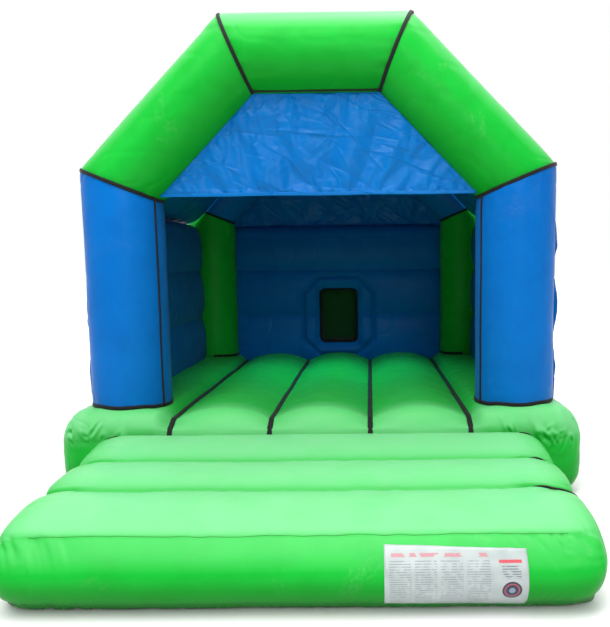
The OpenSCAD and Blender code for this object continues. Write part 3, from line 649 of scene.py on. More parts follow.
def make_bed():
    # the mesh is closest where the folds are
    xs = np.unique(np.round(np.concatenate([np.linspace(-HW, -1.04, 104), np.linspace(-1.04, 1.04, 133), np.linspace(1.04, HW, 104), SEAMS, np.array(SEAMS) - 0.012, np.array(SEAMS) + 0.012]), 5))
    ys = np.unique(np.round(np.concatenate([np.linspace(YB, YB + 0.48, 78), np.linspace(YB + 0.48, YE - 0.42, 166), np.linspace(YE - 0.42, YE, 46)]), 5))
    zs = np.linspace(0.0, BED_H, 66)
    V, F, ijk = box_surface(xs, ys, zs)
    lo, hi = np.array([-HW, YB, 0.0]), np.array([HW, YE, BED_H])
    P, N = rounded(V, lo, hi, 0.17, 0.19, 0.15)
    # the upright corners are far rounder at the top than at the foot
    up_ = np.clip(N[:, 2], 0, 1)
    valley = 0.090 * (1 - bed_crown(P[:, 0]))
    w = sstep(0.02, 0.75, N[:, 2])
    end = np.abs(N[:, 1]) * (N[:, 2] > -0.2)
    w = np.maximum(w, 0.55 * end * sstep(0.10, 0.52, P[:, 2]))
    P = P - N * (valley * w)[:, None]
    # sides and ends are full in the middle and pull in towards their seams
    zz = (P[:, 2] - 0.27) / 0.27
    side = np.abs(N[:, 0]) ** 2
    P[:, 0] -= np.sign(P[:, 0]) * side * 0.022 * np.clip(zz * zz, 0, 1.2)
    fr = np.abs(N[:, 1]) ** 2
    P[:, 1] -= np.sign(N[:, 1]) * fr * 0.020 * np.clip(zz * zz, 0, 1.2)
    P = P + N * (0.030 * np.clip(2 * np.abs(N[:, 1]) * N[:, 2], 0, 1) ** 1.3 * sstep(0.965, 1.06, np.abs(P[:, 0])) * sstep(1.62, 1.50, np.abs(P[:, 0])) * (N[:, 1] < 0))[:, None]
    # puckers that run away from each sewn valley
    d = np.min(np.abs(P[:, 0:1] - np.array(SEAMS)[None]), axis=1)
    pk = fbm(np.stack([P[:, 1] * 1.0, np.sign(P[:, 0]) * 3 + 0 * P[:, 0], 0 * P[:, 0]], 1), 17.0, 2, 3.3)
    P -= N * (0.0042 * pk * np.exp(-d / 0.055) * up_)[:, None]
    # folds from the legs, columns and walls pressing on the outer bays
    P += N * (0.0035 * fbm(P, 2.6, 3))[:, None]
    rg = ridge(P, 4.6, 5.1) * 0.5 + ridge(P, 7.9, 9.1) * 0.35
    corner = sstep(1.15, 1.62, np.abs(P[:, 0])) * np.maximum(sstep(YB + 0.55, YB + 0.02, P[:, 1]), sstep(YE - 0.6, YE - 0.05, P[:, 1]))
    P -= N * (0.0060 * rg * (0.12 + corner) * (N[:, 2] > -0.5))[:, None]
    segs = [
        ((1.10, YB + 0.095, 0.54), (1.20, YB - 0.01, 0.40), 0.010, 0.016),
        ((1.27, YB + 0.080, 0.552), (1.43, YB - 0.005, 0.36), 0.024, 0.019),
        ((1.53, YB + 0.09, 0.54), (1.42, YB, 0.43), 0.015, 0.014),
        ((1.60, YB + 0.12, 0.52), (1.50, YB, 0.41), 0.013, 0.013),
        ((1.47, YB - 0.005, 0.40), (1.42, YB - 0.005, 0.27), 0.011, 0.013),
        ((1.54, YB, 0.40), (1.50, YB, 0.30), 0.009, 0.012),
        ((-1.58, YB + 0.09, 0.53), (-1.46, YB, 0.42), 0.015, 0.014),
        ((-1.62, YB + 0.10, 0.50), (-1.55, YB, 0.36), 0.012, 0.013),
        ((1.38, YB + 0.09, 0.53), (1.47, YB + 0.01, 0.40), 0.010, 0.016),
        ((1.52, YB + 0.12, 0.51), (1.62, YB + 0.10, 0.42), 0.009, 0.018),
        ((-1.18, YB + 0.08, 0.53), (-1.28, YB - 0.01, 0.38), 0.010, 0.018),
        ((-1.36, YB + 0.09, 0.52), (-1.43, YB + 0.01, 0.40), 0.011, 0.016),
        ((-1.46, YB + 0.10, 0.50), (-1.56, YB + 0.05, 0.38), 0.009, 0.018),
        ((-1.62, YB + 0.30, 0.44), (-1.66, YB + 0.42, 0.28), 0.008, 0.018),
        ((1.63, YB + 0.34, 0.44), (1.66, YB + 0.40, 0.28), 0.008, 0.018),
        ((1.40, YE - 0.09, 0.53), (1.48, YE - 0.01, 0.40), 0.010, 0.016),
        ((-1.40, YE - 0.09, 0.53), (-1.46, YE - 0.01, 0.40), 0.010, 0.016),
        ((1.20, YE - 0.08, 0.54), (1.22, YE - 0.01, 0.38), 0.009, 0.016),
        ((-1.22, YE - 0.08, 0.54), (-1.26, YE - 0.01, 0.38), 0.009, 0.016),
    ]
    rg = np.random.RandomState(5)
    for sx in (-1, 1):
        for k in range(9):
            x = sx * rg.uniform(1.05, 1.60)
            y0_ = YB + rg.uniform(0.03, 0.12)
            segs.append(((x, y0_, rg.uniform(0.50, 0.54)), (x + sx * rg.uniform(0.02, 0.10), YB - 0.005, rg.uniform(0.32, 0.42)), rg.uniform(0.008, 0.014), rg.uniform(0.010, 0.017)))
        for k in range(7):
            yy = YB + rg.uniform(0.10, 0.45)
            segs.append(((sx * 1.58, yy, 0.54), (sx * 1.665, yy + rg.uniform(-0.02, 0.08), rg.uniform(0.30, 0.42)), rg.uniform(0.007, 0.012), rg.uniform(0.010, 0.016)))
        for k in range(7):
            yy = YE - rg.uniform(0.05, 0.40)
            segs.append(((sx * 1.58, yy, 0.54), (sx * 1.665, yy + rg.uniform(-0.06, 0.02), rg.uniform(0.30, 0.42)), rg.uniform(0.004, 0.007), rg.uniform(0.010, 0.016)))
    P -= N * creases(P, segs)[:, None]
    P[:, 2] = np.where(N[:, 2] < -0.9, 0.0, np.maximum(P[:, 2], 0.0))
    ob = link("bed", P, F, GREEN)
    # darker along the weld lines where top, end and side panels meet, partly their own darker joint and partly painted
    # shade, and painted shade in the sewn valleys
    zl = np.exp(-((P[:, 2] - 0.395) / 0.006) ** 2) * (np.abs(N[:, 2]) < 0.5)
    float_attr(ob, "seam_shade", np.clip(0.8 * np.exp(-(d / 0.012) ** 2) * up_ + 0.5 * zl, 0, 1))
    put(ob, "bed_bay_outer_left", "bed_bay_inner_left", "bed_bay_centre", "bed_bay_inner_right", "bed_bay_outer_right", "bed_baffles", slot="green_pvc")
    return ob


bed = make_bed()


def bed_surface(x, y):
    """the finished bed's top at one place, by looking down on it"""
    hit, loc, nor, idx = bed.ray_cast(Vector((x, y, 2.0)), Vector((0, 0, -1)))
    return loc.z if hit else float(bed_top_z(np.array([x]), np.array([y]))[0])


bpy.context.view_layer.update()


def make_strips():
    obs = []
    for s in SEAMS:
        ys = np.concatenate([np.linspace(YB + 0.030, YB + 0.22, 26)[:-1], np.linspace(YB + 0.22, REAR_IN - 0.012, 90)])
        path, nor = [], []
        for y in ys:
            z = max(bed_surface(s - 0.012, y), bed_surface(s + 0.012, y), bed_surface(s, y))
            path.append((s, y, z + 0.001))
        path = np.array(path)
        # a smooth run
        for _ in range(3):
            path[1:-1, 2] = path[1:-1, 2] * 0.5 + (path[:-2, 2] + path[2:, 2]) * 0.25
        T = np.gradient(path, axis=0)
        T /= np.linalg.norm(T, axis=1)[:, None]
        N = np.cross(np.array([[1.0, 0, 0]]), T)
        N = np.where(N[:, 2:3] < 0, -N, N)
        obs.append(ribbon(path, N, 0.034, 0.0045, "s", BLACK, seg=8))
    ob = join("seam_strips", obs)
    put(ob, "bed_seam_strips", slot="black_tape")


make_strips()


# ------------------------------------------------------------------ step
CR = [YB - 0.402, YB - 0.812]
SEAM_Y, SEAM_Z = YF + 0.122, 0.322


def step_top(y):
    """height of the step's top along Y: three tubes with sewn creases between them"""
    y = np.asarray(y, float)
    pts = [(YB, 0.425, 0.034), (CR[0], 0.374, 0.042), (CR[1], 0.350, 0.040), (SEAM_Y, SEAM_Z, 0.0)]
    z = np.full_like(y, SEAM_Z)
    for (ya, za, s), (yb, zb, _) in zip(pts[:-1], pts[1:]):
        t = (ya - y) / (ya - yb)
        k = (t >= 0) & (t <= 1)
        arch = np.clip(1 - (2 * t - 1) ** 2, 0, 1) ** 0.62
        z = np.where(k, za + (zb - za) * t + s * arch, z)
    return z


def make_step():
    nx = 285
    us = np.linspace(-1, 1, nx)
    us = 0.62 * np.sin(us * math.pi / 2) + 0.38 * us
    # one cross-section, from the rear foot over the top and down the front to the ground
    sec = []
    ys_top = np.concatenate([np.linspace(YB - 0.001, CR[0], 46)[:-1], np.linspace(CR[0], CR[1], 46)[:-1], np.linspace(CR[1], SEAM_Y, 40)])
    sec += [(YB - 0.001, z, 0) for z in np.linspace(0.0, 0.415, 15)[:-1]]
    sec += [(y, float(step_top(np.array([y]))[0]), 1) for y in ys_top]
    # front face, a full bulge
    a, b = np.array([SEAM_Y, SEAM_Z]), np.array([YF + 0.060, 0.045])
    for t in np.linspace(0, 1, 34)[1:]:
        p = a + (b - a) * t
        p = p + np.array([-1, 0.06]) * 0.092 * (1 - (2 * t - 1) ** 2) ** 0.86
        sec.append((p[0], p[1], 2))
    sec += [(YF + 0.085, 0.014, 2), (YF + 0.13, 0.0, 3)]
    sec += [(y, 0.0, 3) for y in np.linspace(YF + 0.2, YB - 0.03, 10)]
    sec = np.array(sec)
    ny = len(sec)
    yc, zc = (YB + YF) / 2, 0.19
    rings = []
    for u in us:
        # towards each end the section shrinks a little and the corners round off in plan
        e = abs(u)
        x = STEP_HALF * e
        d = (1 - e) * STEP_HALF                    # distance from the end, before rounding
        R = 0.20
        k = np.clip(1 - d / R, 0, 1)               # 0 inside, 1 at the very end
        y = sec[:, 0].copy()
        z = sec[:, 1].copy()
        # plan corner: the front comes back in an arc
        front_pull = 0.20 * (1 - math.sqrt(max(0.0, 1 - np.clip(1 - d / 0.20, 0, 1) ** 2)))
        wy = np.clip((yc + 0.25 - y) / (yc + 0.25 - YF), 0, 1) ** 1.5
        y = y + front_pull * wy
        # end roll: the top comes down and the foot lifts a little
        roll_z = 1 - math.sqrt(max(0.0, 1 - k ** 2.2))
        z_mid = 0.24
        z = z_mid + (z - z_mid) * (1 - 0.86 * roll_z)
        z = np.where(sec[:, 2] == 3, np.minimum(sec[:, 1] + 0.10 * roll_z * 0.5, 0.05) * 1.0, z)
        # creases deepen and close up near the ends, as darts do
        rings.append(np.stack([np.full(ny, math.copysign(x, u) if u else 0.0), y, z], 1))
    rings = np.array(rings)
    # let the ends bulge sideways: the middle of the section goes out furthest
    for i, u in enumerate(us):
        e = abs(u)
        d = (1 - e) * STEP_HALF
        k = np.clip(1 - d / 0.20, 0, 1)
        x_in = STEP_HALF - 0.20
        if k > 0:
            ang = k * math.pi / 2
            xx = x_in + 0.20 * math.sin(ang) ** 0.66
            rings[i, :, 0] = math.copysign(xx, u)
            cs = max(math.cos(ang), 0.0)
            sc = cs ** 0.66
            z = rings[i, :, 2]
            base = sec[:, 1]
            # widest a little above half height, with a fuller top than foot
            zz = 0.24 + (base - 0.24) * (0.10 + 0.90 * np.where(base > 0.24, sc, cs ** 0.80))
            zz = np.where(sec[:, 2] == 3, np.maximum(0.0, zz * (k > 0.35) * (k - 0.35) / 0.65), zz)
            rings[i, :, 2] = zz
            rings[i, :, 1] = np.where((sec[:, 2] != 0), rings[i, :, 1], rings[i, :, 1])
            yy = rings[i, :, 1]
            rings[i, :, 1] = np.where(yy < yc, yc + (yy - yc) * (0.90 + 0.10 * max(sc, 0.0)), yc + (yy - yc) * (0.965 + 0.035 * max(sc, 0.0)))
    # a little wider where it meets the bed than along its front
    q = np.clip((rings[:, :, 1] - YF) / (YB - YF), 0, 1)
    # but not where the side anchors are sewn on, which keep the side's own plane
    flat_ = (1 - sstep(0.27, 0.36, rings[:, :, 2])) * np.exp(-np.clip((rings[:, :, 1] + 1.5) / 0.17, -9, 9) ** 4)
    rings[:, :, 0] *= 1 + 0.028 * q * (1 - flat_) - 0.011 * np.clip(1 - (rings[:, :, 1] - YF) / 0.6, 0, 1)
    V = rings.reshape(-1, 3)
    # outward direction from the section's centre line
    C = V.copy()
    C[:, 0] = np.clip(V[:, 0], -STEP_HALF + 0.22, STEP_HALF - 0.22)
    C[:, 1] = np.clip(V[:, 1], YF + 0.20, YB - 0.10)
    C[:, 2] = 0.19
    N = V - C
    N /= np.maximum(np.linalg.norm(N, axis=1), 1e-6)[:, None]
    kind = np.tile(sec[:, 2], nx)
    top = (kind == 1) | (kind == 2)
    # between the tubes the ends are drawn in
    notch = sum(w * np.exp(-((V[:, 1] - c) / 0.045) ** 2) for c, w in ((CR[0], 0.030), (CR[1], 0.036), (YB, 0.020)))
    pull_x = notch * sstep(1.02, 1.30, np.abs(V[:, 0])) * (kind == 1)
    V[:, 0] -= np.sign(V[:, 0]) * pull_x
    # puckers along the sewn creases and the front seam
    d = np.minimum(np.minimum(np.abs(V[:, 1] - CR[0]), np.abs(V[:, 1] - CR[1])), np.hypot(V[:, 1] - SEAM_Y, V[:, 2] - SEAM_Z))
    pk = fbm(np.stack([V[:, 0], 0 * V[:, 0] + 2.0, 0 * V[:, 0]], 1), 15.0, 2, 1.3)
    V = V - N * (0.0040 * pk * np.exp(-d / 0.05) * top)[:, None]
    V = V + N * (0.0035 * fbm(V, 2.2, 3, 4.0) * top)[:, None]
    endk = sstep(1.05, 1.32, np.abs(V[:, 0]))
    ends2 = sstep(0.75, 1.25, np.abs(V[:, 0]))
    along = np.stack([V[:, 0] * 1.0 + V[:, 1] * 0.8, 0 * V[:, 0] + 5.0, 0 * V[:, 0]], 1)
    pk2 = np.clip(1 - np.abs(vnoise(along * 19.0 + 2.0)) * 3.0, 0, 1)
    dz_seam = np.abs(V[:, 2] - SEAM_Z + 0.02)
    V = V - N * (0.0125 * pk2 * ends2 * (kind == 2) * np.exp(-np.maximum(dz_seam - 0.01, 0) / 0.055))[:, None]
    pk3 = np.clip(1 - np.abs(vnoise(along * 24.0 + 9.0)) * 3.0, 0, 1)
    V = V - N * (0.0105 * pk3 * (0.25 + 0.75 * ends2) * (kind == 2) * np.exp(-np.maximum(V[:, 2] - 0.02, 0) / 0.045))[:, None]
    V = V - N * (0.0065 * (ridge(V, 5.1, 2.2) * 0.6 + ridge(V, 8.3, 4.4) * 0.4) * (0.10 + endk) * top)[:, None]
    segs = [
        ((-1.30, CR[0] + 0.01, 0.34), (-1.12, CR[0], 0.385), 0.020, 0.022), ((1.30, CR[0] + 0.01, 0.34), (1.12, CR[0], 0.385), 0.020, 0.022),
        ((-1.31, CR[1] + 0.01, 0.33), (-1.10, CR[1], 0.375), 0.018, 0.022), ((1.32, CR[1] + 0.02, 0.30), (1.02, CR[1], 0.375), 0.026, 0.024),
        ((1.20, SEAM_Y + 0.12, 0.30), (1.30, SEAM_Y + 0.26, 0.22), 0.010, 0.018), ((-1.20, SEAM_Y + 0.12, 0.30), (-1.31, SEAM_Y + 0.26, 0.22), 0.010, 0.018),
        ((1.14, SEAM_Y + 0.05, 0.30), (1.22, SEAM_Y + 0.02, 0.20), 0.009, 0.016), ((-1.10, SEAM_Y + 0.04, 0.31), (-1.20, SEAM_Y + 0.03, 0.20), 0.009, 0.016),
    ]
    V = V - N * (creases(V, segs) * top)[:, None]
    # the very ends are one taut rounded panel: their folds die out and the surface evens out
    near_end = np.array([np.clip(1 - (1 - abs(u)) * STEP_HALF / 0.20, 0, 1) for u in us])
    calm = sstep(0.62, 0.88, near_end)[:, None, None]
    G = V.reshape(nx, ny, 3)
    G = G * (1 - calm) + rings * calm
    even = sstep(0.45, 0.75, near_end)[:, None, None] * 0.5
    for _ in range(14):
        ring_avg = (np.roll(G, 1, axis=1) + np.roll(G, -1, axis=1)) * 0.25
        up_r = np.concatenate([G[:1], G[:-1]])
        dn_r = np.concatenate([G[1:], G[-1:]])
        new = ring_avg + (up_r + dn_r) * 0.25
        keep = G[:, :, 0].copy()
        G = G * (1 - even) + new * even
        G[:, :, 0] = np.where(near_end[:, None] > 0.45, keep * 0.6 + G[:, :, 0] * 0.4, keep)
    V = G.reshape(-1, 3)
    # flat under the side anchors' patches
    near_ = np.hypot(V[:, 1] + 1.5, V[:, 2] - 0.2)
    lim = STEP_HALF - 0.0022 + np.clip(near_ - 0.056, 0, 1) * 0.5
    V[:, 0] = np.sign(V[:, 0]) * np.minimum(np.abs(V[:, 0]), lim)
    V[:, 2] = np.maximum(V[:, 2], 0.0)
    V[:, 1] = np.minimum(V[:, 1], YB - 0.0015)
    F = []
    for i in range(nx - 1):
        for j in range(ny):
            k = (j + 1) % ny
            F.append((i * ny + j, i * ny + k, (i + 1) * ny + k, (i + 1) * ny + j))
    c0 = V[:ny].mean(0)
    c1 = V[-ny:].mean(0)
    V = np.vstack([V, c0, c1])
    n = nx * ny
    F += [((j + 1) % ny, j, n) for j in range(ny)]
    F += [((nx - 1) * ny + j, (nx - 1) * ny + (j + 1) % ny, n + 1) for j in range(ny)]
    F = flip_if_needed(V, F)
    ob = link("front_step", V, F, GREEN)
    # painted shade: darker along the front seam and the sewn creases, fading out over the start of the tube behind each
    # crease
    d_cr = np.minimum(np.abs(V[:-2, 1] - CR[0]), np.abs(V[:-2, 1] - CR[1]))
    behind = sum(np.exp(-np.clip(V[:-2, 1] - c, 0, 1) / 0.055) * (V[:-2, 1] > c) for c in CR)
    seam_shade = np.concatenate([np.clip(0.8 * np.exp(-(d / 0.010) ** 2) + (1.2 * np.exp(-d_cr / 0.018) + 0.85 * behind) * (kind == 1), 0, 1.5) * top, [0, 0]])
    float_attr(ob, "seam_shade", seam_shade)
    put(ob, "step_skin", "step_baffles", slot="green_pvc")
    bpy.context.view_layer.update()
    xs = np.linspace(-1.16, 1.16, 180)
    pts = []
    for x in xs:
        hit, loc, nr, idx = ob.ray_cast(Vector((x, SEAM_Y - 0.002, 1.0)), Vector((0, 0, -1)))
        pts.append((x, SEAM_Y - 0.002, (loc.z if hit else SEAM_Z) + 0.0002))
    pts = np.array(pts)
    for _ in range(4):
        pts[1:-1, 2] = pts[1:-1, 2] * 0.5 + (pts[:-2, 2] + pts[2:, 2]) * 0.25
    # a thin bead along the front seam, darkened all over by the crease attribute: painted shade for the dark line along
    # the seam
    weld = rod(pts, 0.0022, "step_weld", PATCH, n=8)
    float_attr(weld, "seam_shade", np.ones(len(weld.data.vertices)))
    put(weld, slot="green_pvc")
    # painted shadow: black cords laid along the deepest folds at the step's ends stand in for the dark shade inside
    # those folds
    folds = []
    for path in (
        [(1.03, CR[1] - 0.004), (1.12, CR[1] - 0.010), (1.20, CR[1] - 0.018), (1.28, CR[1] - 0.034), (1.335, CR[1] - 0.052)],
        [(1.15, CR[0] - 0.004), (1.23, CR[0] - 0.008), (1.31, CR[0] - 0.020)],
        [(1.24, YB - 0.016), (1.29, YB - 0.018), (1.335, YB - 0.026)],
        [(-1.26, YB - 0.018), (-1.305, YB - 0.020), (-1.340, YB - 0.026)],
    ):
        q = np.array(path)
        tt = np.linspace(0, len(q) - 1, 40)
        q = np.stack([np.interp(tt, range(len(q)), q[:, k]) for k in (0, 1)], 1)
        for _ in range(4):
            q[1:-1] = q[1:-1] * 0.5 + (q[:-2] + q[2:]) * 0.25
        p3 = []
        for x, y in q:
            hit, loc, nr, idx = ob.ray_cast(Vector((x, y, 1.0)), Vector((0, 0, -1)))
            p3.append((x, y, (loc.z if hit else 0.3) + 0.0030))
        if path[0][0] < 1.1 and path[0][0] > 0:
            # the longest fold runs on down the end of the step
            for i in range(1, 9):
                zz_ = p3[39][2] - 0.011 * i
                hit, loc, nr, idx = ob.ray_cast(Vector((1.9, q[-1][1] - 0.003 * i, zz_)), Vector((-1, 0, 0)))
                if hit and abs(loc.x - p3[-1][0]) < 0.03:
                    p3.append((loc.x + 0.0030, q[-1][1] - 0.003 * i, zz_))
        p3 = np.array(p3)
        for _ in range(3):
            p3[1:-1, 2] = p3[1:-1, 2] * 0.5 + (p3[:-2, 2] + p3[2:, 2]) * 0.25
        taper = np.sin(np.linspace(0.12, math.pi - 0.25, len(p3))) ** 0.7
        T = np.gradient(p3, axis=0)
        T /= np.linalg.norm(T, axis=1)[:, None]
        Bn = np.cross(T, np.array([0.3, 0.25, 1.0]))
        Bn /= np.linalg.norm(Bn, axis=1)[:, None]
        Nn = np.cross(Bn, T)
        th = np.linspace(0, 2 * math.pi, 10, endpoint=False)
        rr = p3[:, None, :] + (Bn[:, None, :] * np.cos(th)[None, :, None] * 0.0100 + Nn[:, None, :] * np.sin(th)[None, :, None] * 0.0080) * taper[:, None, None]
        folds.append(loft("f", rr, BLACK))
    put(join("step_fold_shadow_cords", folds), slot="black_tape")
    return ob


step = make_step()


# ------------------------------------------------------------------ arch tubes
def tube_segment(name, p0, d, s_lo, s_hi, R, y, e1, mat, cad, slot, n_len=72, n_ang=112, pinch=(0.007, 0.007), seed=0.0, foot=False, side=1):
    """one straight tube of an arch. p0 and d are in the XZ plane; s_lo and s_hi give where the ends are, for each angle. e1 points outwards in the XZ plane"""
    th = np.linspace(0, 2 * math.pi, n_ang, endpoint=False)
    c, s = np.cos(th), np.sin(th)
    ox, oz = R * c * e1[0], R * c * e1[1]
    oy = R * s
    lo = s_lo(ox, oy, oz)
    hi = s_hi(ox, oy, oz)
    ts = np.linspace(0, 1, n_len)
    ts = 0.5 - 0.5 * np.cos(ts * math.pi) * (0.35) - (0.5 - ts) * 0.65 + 0.0 if False else ts * 0.6 + 0.4 * (0.5 - 0.5 * np.cos(ts * math.pi))
    rings = []
    for t in ts:
        sv = lo + (hi - lo) * t
        d0, d1 = sv - lo, hi - sv
        d0, d1 = np.maximum(d0, 0), np.maximum(d1, 0)
        pull = pinch[0] * np.exp(-(d0 / 0.035) ** 1.3) + pinch[1] * np.exp(-(d1 / 0.035) ** 1.3)
        X = p0[0] + ox + sv * d[0]
        Z = p0[1] + oz + sv * d[1]
        Y = y + oy
        P = np.stack([X, Y, Z], 1)
        N = np.stack([c * e1[0], s, c * e1[1]], 1)
        arc_l = th * R
        pk = vnoise(np.stack([arc_l * 22 + seed, 0 * arc_l + seed, 0 * arc_l], 1))
        pull = pull + 0.0035 * pk * (np.exp(-d0 / 0.06) * (pinch[0] > 0) + np.exp(-d1 / 0.06) * (pinch[1] > 0))
        pull = pull - 0.0030 * fbm(P, 2.4, 2, seed) + 0.0022 * ridge(P, 5.2, seed)
        rings.append(P - N * pull[:, None])
    ob = loft(name, np.array(rings), mat)
    nv = len(ts)
    # painted shade: darker near the mitred ends, where the tube pinches in
    d_end = []
    for t in ts:
        sv = lo + (hi - lo) * t
        d_end.append(np.minimum(sv - lo, hi - sv))
    seam_shade = np.concatenate([0.6 * np.exp(-(np.array(d_end).ravel() / 0.014) ** 2), [0, 0]])
    # the long weld where the tube's front and inner panels meet
    ang_seam = np.minimum(np.abs(th - math.radians(200)), np.abs(th - math.radians(20)))
    seam_shade[:-2] = np.clip(seam_shade[:-2] + np.tile(0.55 * np.exp(-(ang_seam * R / 0.006) ** 2), nv), 0, 1)
    float_attr(ob, "seam_shade", seam_shade)
    put(ob, cad, slot=slot)
    return ob


def plane_cut(p0, d, q, n):
    """distance along the tube to the plane through q with normal n, for each point of the section"""
    dn = d[0] * n[0] + d[1] * n[1]

    def f(ox, oy, oz):
        return ((q[0] - p0[0] - ox) * n[0] + (q[1] - p0[1] - oz) * n[1]) / dn
    return f


def arch(tag, R, y, leg_mat, arch_mat, leg_slot, arch_slot, leg_names, slope_names, top_name, gap=0.0006):
    for side, leg_n, slope_n in ((-1, leg_names[0], slope_names[0]), (1, leg_names[1], slope_names[1])):
        sx = np.array([side, 1.0])
        # leg
        p0 = np.array([LEG_X * side, 0.0])
        d = np.array([0.0, 1.0])
        n1 = np.array([-m1[1], m1[0]]) * sx      # normal of the mitre plane
        n1 = n1 * (1 if n1[1] > 0 else -1)
        am = a_mid * sx

        def bottom(ox, oy, oz, side=side):
            return np.array([bed_surface(LEG_X * side + a, y + b) for a, b in zip(ox, oy)]) - 0.0005
        cut = plane_cut(p0, d, am - n1 * gap, n1)
        tube_segment(leg_n, p0, d, bottom, cut, R, y, np.array([side, 0.0]), leg_mat, leg_n, leg_slot, n_len=96, seed=3.1 * side + R * 40, pinch=(0.004, 0.006))
        # slope
        d = slope_dir * sx
        p0 = am
        n2 = np.array([m2[1], -m2[0]]) * sx
        n2 = n2 * (1 if (n2 @ d) > 0 else -1)
        bm = b_mid * sx
        lo_ = plane_cut(p0, d, am + n1 * gap, n1)
        hi_ = plane_cut(p0, d, bm - n2 * gap, n2)
        tube_segment(slope_n, p0, d, lo_, hi_, R, y, slope_out * sx, arch_mat, slope_n, arch_slot, seed=7.7 * side + R * 31)
    # top
    p0 = np.array([0.0, TOP_H - LEG_R])
    d = np.array([1.0, 0.0])
    nr = np.array([m2[1], -m2[0]])
    nl = nr * [-1, 1]
    lo_ = plane_cut(p0, d, b_mid * [-1, 1] + np.array([gap, 0]), nl)
    hi_ = plane_cut(p0, d, b_mid - np.array([gap, 0]), nr)
    tube_segment(top_name, p0, d, lo_, hi_, R, y, np.array([0.0, 1.0]), arch_mat, top_name, arch_slot, seed=5.5 + R * 17)


arch("front", LEG_R, LEG_Y, BLUE, GREEN, "blue_pvc", "green_pvc", ("front_leg_left", "front_leg_right"), ("front_slope_left", "front_slope_right"), "front_top_beam")
arch("rear", COL_R, COL_Y, GREEN, BLUE, "green_pvc", "blue_pvc", ("rear_column_left", "rear_column_right"), ("rear_slope_left", "rear_slope_right"), "rear_top_beam")


def mitre_tape(R, y, q, n, turn, side, width=0.023):
    """a band of tape that follows the joint's ellipse. q: the joint's centre, n: not used, turn: the joint plane's
    direction in XZ
    """
    th = np.linspace(0, 2 * math.pi, 120, endpoint=False)
    # section of a tube with axis direction a: joint ellipse half length along m
    path, nor = [], []
    for t in th:
        path.append((q[0] + turn[0] * math.cos(t), y + R * math.sin(t), q[1] + turn[1] * math.cos(t)))
        L = np.linalg.norm(turn)
        nn = np.array([turn[0] / L * math.cos(t), math.sin(t), turn[1] / L * math.cos(t)])
        nor.append(nn)
    path, nor = np.array(path), np.array(nor)
    path = path - nor * 0.0045
    return ribbon(path, nor, width, 0.0062, "t", BLACK, closed=True, seg=6)


def tapes(R, y, name, cad):
    obs = []
    for side in (-1, 1):
        sx = np.array([side, 1.0])
        obs.append(mitre_tape(R, y, a_mid * sx, None, m1 * sx * (R / m1[0]), side))
        obs.append(mitre_tape(R, y, b_mid * sx, None, m2 * sx * (R / m2[1]), side))
    ob = join(name, obs)
    put(ob, cad, slot="black_tape")


tapes(LEG_R, LEG_Y, "front_arch_tapes", "front_joint_tapes")
tapes(COL_R, COL_Y, "rear_arch_tapes", "rear_joint_tapes")


def base_band(R, y, side, a0, a1, n=90):
    th = np.radians(np.linspace(a0, a1, n))
    path, nor = [], []
    for t in th:
        x = LEG_X * side + side * R * math.cos(t)
        yy = y + R * math.sin(t)
        path.append((x, yy, bed_surface(x, yy) + 0.0125))
        nor.append((side * math.cos(t), math.sin(t), 0.05))
    path = np.array(path)
    for _ in range(4):
        path[1:-1, 2] = path[1:-1, 2] * 0.5 + (path[:-2, 2] + path[2:, 2]) * 0.25
    nor = np.array(nor)
    path = path - nor * 0.0035
    return ribbon(path, nor, 0.024, 0.0070, "b", BLACK, seg=6)


# angle 0 points outwards, -90 to the front, 180 inwards
put(join("leg_base_bands", [base_band(LEG_R, LEG_Y, s, -181 - 50, 30) for s in (-1, 1)]), "leg_base_tapes", slot="black_tape")
put(join("column_base_bands", [base_band(COL_R, COL_Y, s, -182, -98) for s in (-1, 1)]), "column_base_tapes", slot="black_tape")


PIPE_A = math.radians(67)
pl = LEG_R + 0.0025
obs = []
for s in (-1, 1):
    x = s * (LEG_X - pl * math.sin(PIPE_A))
    yy = LEG_Y - pl * math.cos(PIPE_A)
    zb = bed_surface(x, yy)
    zt = a_mid[1] + ((LEG_X - pl * math.sin(PIPE_A)) - a_mid[0]) * m1[1] / m1[0]
    zz = np.linspace(zb + 0.004, zt + 0.002, 60)
    wob = 0.002 * vnoise(np.stack([zz * 5 + s * 4, 0 * zz, 0 * zz], 1))
    obs.append(rod(np.stack([x + wob, yy + 0 * zz, zz], 1), 0.0068, "p", BLACK))
put(join("leg_piping", obs), "leg_corner_piping", slot="black_tape")
zp, yp = TOP_H - LEG_R - pl * math.sin(PIPE_A), LEG_Y - pl * math.cos(PIPE_A)
xe = b_mid[0] - (zp - b_mid[1]) * m2[0] / m2[1] * -1
xs_ = np.linspace(-xe, xe, 50)
sag = 0.0015 * vnoise(np.stack([xs_ * 6, 0 * xs_, 0 * xs_ + 2], 1))
put(rod(np.stack([xs_, yp + 0 * xs_, zp + sag], 1), 0.0062, "beam_piping", BLACK), "top_beam_piping", slot="black_tape")


# ------------------------------------------------------------------ walls
def wall_half(z):
    """how far each face of the wall stands out from the crease plane, 0 to 1, for three stacked tubes"""
    za, zb = 0.968, 1.420
    out = np.zeros_like(z)
    for lo, hi in ((0.50, za), (za, zb), (zb, WALL_TOP + 0.02)):
        t = (z - lo) / (hi - lo)
        k = (t >= 0) & (t <= 1)
        out = np.where(k, np.clip(1 - (2 * t - 1) ** 2, 0, 1) ** 0.62, out)
    return out


